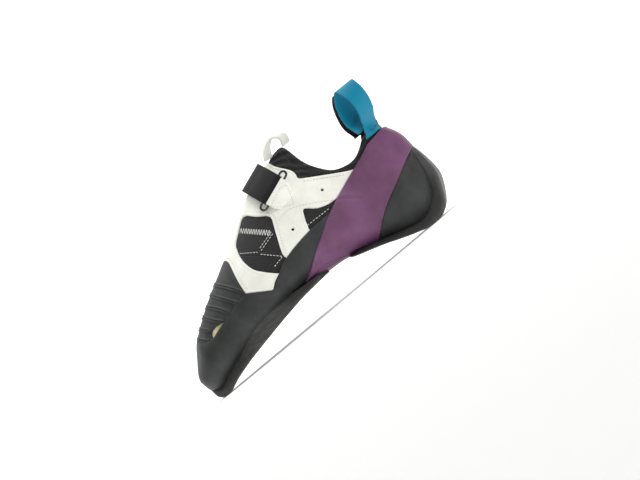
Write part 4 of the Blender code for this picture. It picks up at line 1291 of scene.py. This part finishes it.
# Ring: a flattened loop of black-coated steel wire, held between the strap's fold and the tab's fold. Its two bars
# lie in the folds.
middle = (near_bar + far_bar) / 2
reach = far_bar - near_bar
reach = reach - STRAP_ACROSS * (reach @ STRAP_ACROSS)
corner = np.linalg.norm(reach) / 2
around = reach / np.linalg.norm(reach)
run = RING_LENGTH / 2 - corner
path = []
for sign in (1, -1):
    for angle in (math.pi * (k / FOLD_STEPS - sign / 2) for k in range(FOLD_STEPS + 1)):
        out = sign * run + corner * math.cos(angle)
        path.append(middle + STRAP_ACROSS * out + around * corner * math.sin(angle))
curve = bpy.data.curves.new("ring_wire", "CURVE")
curve.dimensions = "3D"
curve.bevel_depth = RING_WIRE_RADIUS
curve.bevel_resolution = 5
line = curve.splines.new("POLY")
line.points.add(len(path) - 1)
for point, place in zip(line.points, path):
    point.co = (*place, 1.0)
line.use_cyclic_u = True
make_active(new_object("ring_wire", curve))
bpy.ops.object.convert(target="MESH")
ring = bpy.context.object
ring.data.shade_smooth()

# Powder-coated wire: black, glossy, with a faint orange peel 0.7 mm across.
ring_coat, *_ = grained(
    "black_coated_wire", 0.22, 0.004, "#222326", "#17181A", grain=1500.0, depth=0.00002,
    Coat_Weight=0.6, Coat_Roughness=0.12)
dress(ring, ring_coat, "ring_wire", "strap_ring")


# Front pull loop: a doubled strip of the frame's suede, bent over and sewn on both sides of the tongue's peak.
# It leans to the outer side.
FRONT_LOOP_PATH = (
    # x, z, side
    (0.613, 0.984, -0.055), (0.617, 1.008, -0.060), (0.628, 1.043, -0.050), (0.646, 1.073, -0.025),
    (0.667, 1.081, 0.000), (0.687, 1.058, 0.015), (0.691, 1.028, 0.020), (0.684, 0.990, 0.015),
)
FRONT_LOOP_TWIST = math.radians(42.0)
FRONT_LOOP_WIDTH = 0.0095
FRONT_LOOP_THICKNESS = 0.0019
line = smooth_line(np.array([side_place(x, z, y * BALL_WIDTH) for x, z, y in FRONT_LOOP_PATH]), 60)
width = np.array((math.sin(FRONT_LOOP_TWIST), math.cos(FRONT_LOOP_TWIST), 0.0)) * FRONT_LOOP_WIDTH
rows = [[point + width * share for share in np.linspace(-0.5, 0.5, 7)] for point in line]
front_loop = make_strip("front_loop_suede", rows, FRONT_LOOP_THICKNESS)
dress(front_loop, white_suede, "off_white_suede", "front_pull_loop")


# Heel loops: 17 mm satin ribbon, teal on the outer side and black on the inner one, each sewn outside and inside
# the collar beside the heel and standing up in a bow.
HEEL_LOOP_WIDTH = 0.0170
HEEL_LOOP_THICKNESS = 0.0012
HEEL_LOOP_BULGE = 0.0060
HEEL_LOOP_CLEARANCE = 0.0004
HEEL_LOOP = np.array((
    # x, z, bulge from the collar wall, turn round the heel in degrees
    (0.913, 0.678, 0.00, 24.0),
    (0.918, 0.730, 0.10, 34.0),
    (0.925, 0.790, 0.35, 40.0),
    (0.932, 0.870, 0.75, 38.0),
    (0.934, 0.950, 0.90, 30.0),
    (0.934, 1.005, 0.65, 22.0),
    (0.935, 1.032, 0.10, 18.0),
    (0.930, 1.022, -0.40, 20.0),
    (0.920, 0.970, -0.85, 26.0),
    (0.910, 0.880, -0.95, 32.0),
    (0.905, 0.800, -0.60, 34.0),
    (0.903, 0.735, -0.15, 26.0),
))
HEEL_LOOP_EDGE = (0.918, 0.740)
HEEL_LOOP_FREE = 0.810
MEDIAL_LOOP_SHIFT = -0.007
HEEL_LOOP_STEPS = 67


def collar_curve(z_share, side):
    """The upper's outer face at one height, from the ankle's side to the middle of the back."""
    points = []
    for k in range(81):
        part = smooth_rows(LAST_SECTIONS, np.array(13 + k / 16))
        height = (z_share - part[3]) / (part[1] - part[3])
        if height < 0:
            break
        edge = part[4] if side < 0 else part[6]
        y = BALL_WIDTH * (part[5] + (edge - part[5]) * spread_at(part[7], part[8], part[9], height))
        points.append(side_place(part[2] + (part[0] - part[2]) * height, z_share, y))
    return np.array(points)


def on_collar(z_share, side, x_share, reach, distance):
    """A point on the collar at a reach round it from a side-view place, moved outwards by a distance."""
    curve = collar_curve(z_share, side)
    gone = lengths_along(curve)
    goal = gone[np.abs(curve[:, 0] - side_place(x_share, z_share)[0]).argmin()] + reach
    n = min(int(np.searchsorted(gone, goal)) - 1, len(curve) - 2)
    run = (curve[n + 1] - curve[n]) / (gone[n + 1] - gone[n])
    return curve[n] + run * (goal - gone[n]) + np.array((-run[1], run[0], 0.0)) * distance * side


def make_heel_loop(name, side, shift):
    """A loop on one side of the heel, its feet held flat against the collar outside and inside."""
    half = HEEL_LOOP_WIDTH / 2
    edge_x, edge_z = HEEL_LOOP_EDGE
    outside = SEAT + HEEL_LOOP_THICKNESS / 2 + HEEL_LOOP_CLEARANCE
    within = KNIT_WALL + SEAT + HEEL_LOOP_THICKNESS / 2 + HEEL_LOOP_CLEARANCE
    middle = on_collar(edge_z, side, edge_x + shift, 0.0, 0.0)[1] - CENTRING[1]
    rows = []
    for share in np.linspace(0, 1, HEEL_LOOP_STEPS):
        x, z, bulge, turn = smooth_rows(HEEL_LOOP, np.array(share * (len(HEEL_LOOP) - 1)))
        stand_off = outside * (1 - share) - within * share + bulge * HEEL_LOOP_BULGE
        angle = math.radians(turn)
        outward = np.array((math.sin(angle), side * math.cos(angle), 0.0))
        width = np.array((math.cos(angle), -side * math.sin(angle), 0.0)) * half
        centre = side_place(x + shift, z, middle) + outward * stand_off
        follow = min(max((HEEL_LOOP_FREE - z) / (HEEL_LOOP_FREE - edge_z), 0.0), 1.0)
        row = []
        for across in np.linspace(-1, 1, 9):
            flat = centre + width * across
            if follow > 0:
                distance = outside if share < 0.5 else -within
                held = on_collar(min(z, edge_z), side, x + shift, across * half, distance)
                held[2] = flat[2]
                flat = flat + (held - flat) * follow
            row.append(flat)
        rows.append(row)
    return make_strip(name, rows, HEEL_LOOP_THICKNESS)


# Polyester satin ribbon: bright teal with a soft sheen, cross ribs 0.4 mm and threads 0.6 mm apart, both coarser than
# the real ones.
teal_ribbon = woven(
    "teal_satin_ribbon", "#0088AA", "#007390", 0.45, rib=0.0008, thread=0.0012, depth=0.00006,
    Specular_IOR_Level=0.25)
teal_loop = make_heel_loop("teal_heel_loop", -1, 0.0)
dress(teal_loop, teal_ribbon, "teal_webbing", "heel_loop_lateral")
dress(make_heel_loop("black_heel_loop", 1, MEDIAL_LOOP_SHIFT), black_webbing, "black_webbing", "heel_loop_medial")


# Bar tacks: black bonded thread in a slanted box across the foot of the teal loop, where it is sewn through to the
# collar.
LOOP_TACKS = ((0.946, 0.757), (0.950, 0.728), (0.936, 0.712), (0.912, 0.700), (0.906, 0.716))
tacks = side_line(LOOP_TACKS, 1, -1, [tree_from(teal_loop)])
sew("teal_loop_tacks", [tacks], black_thread, "black_webbing", pitch=0.0021, length=0.0019, radius=0.00022)


# Studio: a pale floor that curves up behind, soft lamps, and a long lens that looks at the outer side, rolled as the
# shoe lies in the picture.
VIEW_ROLL = math.radians(39.9)
VIEW_MIDDLE = Vector((0.01805, -0.020, 0.04511))
VIEW_WIDTH = 0.4766
VIEW_DISTANCE = 2.0

PAPER_GLOW = 0.25
AIR_LIGHT = 0.20
# The floor runs back, curves up and ends as a wall, as rows of a depth and a height.
FLOOR_FRONT, FLOOR_BACK, FLOOR_BEND, FLOOR_TOP, FLOOR_SIDE = -3.0, 2.2, 1.2, 5.0, 6.0
bend = [k * math.pi / 24 for k in range(1, 13)]
sweep = [(FLOOR_FRONT, 0.0), (FLOOR_BACK, 0.0)]
sweep += [(FLOOR_BACK + FLOOR_BEND * math.sin(turn), FLOOR_BEND - FLOOR_BEND * math.cos(turn)) for turn in bend]
sweep.append((FLOOR_BACK + FLOOR_BEND, FLOOR_TOP))
floor_mesh = bpy.data.meshes.new("studio_floor")
floor_mesh.from_pydata(
    [(x, y, z) for y, z in sweep for x in (-FLOOR_SIDE, FLOOR_SIDE)], [],
    [(2 * k, 2 * k + 1, 2 * k + 3, 2 * k + 2) for k in range(len(sweep) - 1)],
)
floor_mesh.shade_smooth()
floor = new_object("studio_floor", floor_mesh)
# White paper lit from below, so that the shoe's shadow stays pale.
paper, tree, shader, where = start_material("backlit_white_paper", 0.95)
shader.inputs["Base Color"].default_value = to_linear("#FCFCFB")
shader.inputs["Emission Color"].default_value = to_linear("#FFFFFF")
shader.inputs["Emission Strength"].default_value = PAPER_GLOW
floor_mesh.materials.append(paper)

right = Vector((math.cos(VIEW_ROLL), 0.0, -math.sin(VIEW_ROLL)))
above = Vector((math.sin(VIEW_ROLL), 0.0, math.cos(VIEW_ROLL)))
back = Vector((0.0, -1.0, 0.0))
lens = bpy.data.cameras.new("camera")
lens.sensor_width = 36.0
lens.lens = 36.0 * VIEW_DISTANCE / VIEW_WIDTH
camera = new_object("camera", lens)
turned = Matrix((right, above, back)).transposed().to_4x4()
camera.matrix_world = Matrix.Translation(VIEW_MIDDLE + back * VIEW_DISTANCE) @ turned
bpy.context.scene.camera = camera

ON_SHOE = (0.0, 0.0, 0.05)
LAMPS = (
    # name, place, what it points at, size, power
    ("key_lamp", (1.1, -1.1, 1.5), ON_SHOE, 0.9, 14.5),
    ("fill_lamp", (-1.6, -1.7, 0.9), ON_SHOE, 1.6, 2.6),
    ("low_lamp", (0.3, -2.6, 0.55), ON_SHOE, 1.6, 5.6),
    ("top_lamp", (0.1, 0.3, 1.9), ON_SHOE, 2.0, 10.5),
    ("backdrop_lamp", (0.0, 0.9, 2.4), (0.0, 3.2, 0.4), 2.5, 88.0),
)
for name, place, aim, size, power in LAMPS:
    light = bpy.data.lights.new(name, "AREA")
    light.size, light.energy = size, power
    lamp = new_object(name, light)
    lamp.location = place
    lamp.rotation_mode = "QUATERNION"
    lamp.rotation_quaternion = (Vector(place) - Vector(aim)).to_track_quat("Z", "Y")
world = bpy.data.worlds.new("studio_air")
world.use_nodes = True
world.node_tree.nodes["Background"].inputs["Color"].default_value = (1.0, 1.0, 1.0, 1.0)
world.node_tree.nodes["Background"].inputs["Strength"].default_value = AIR_LIGHT
bpy.context.scene.world = world
bpy.context.scene.view_settings.view_transform = "Standard"
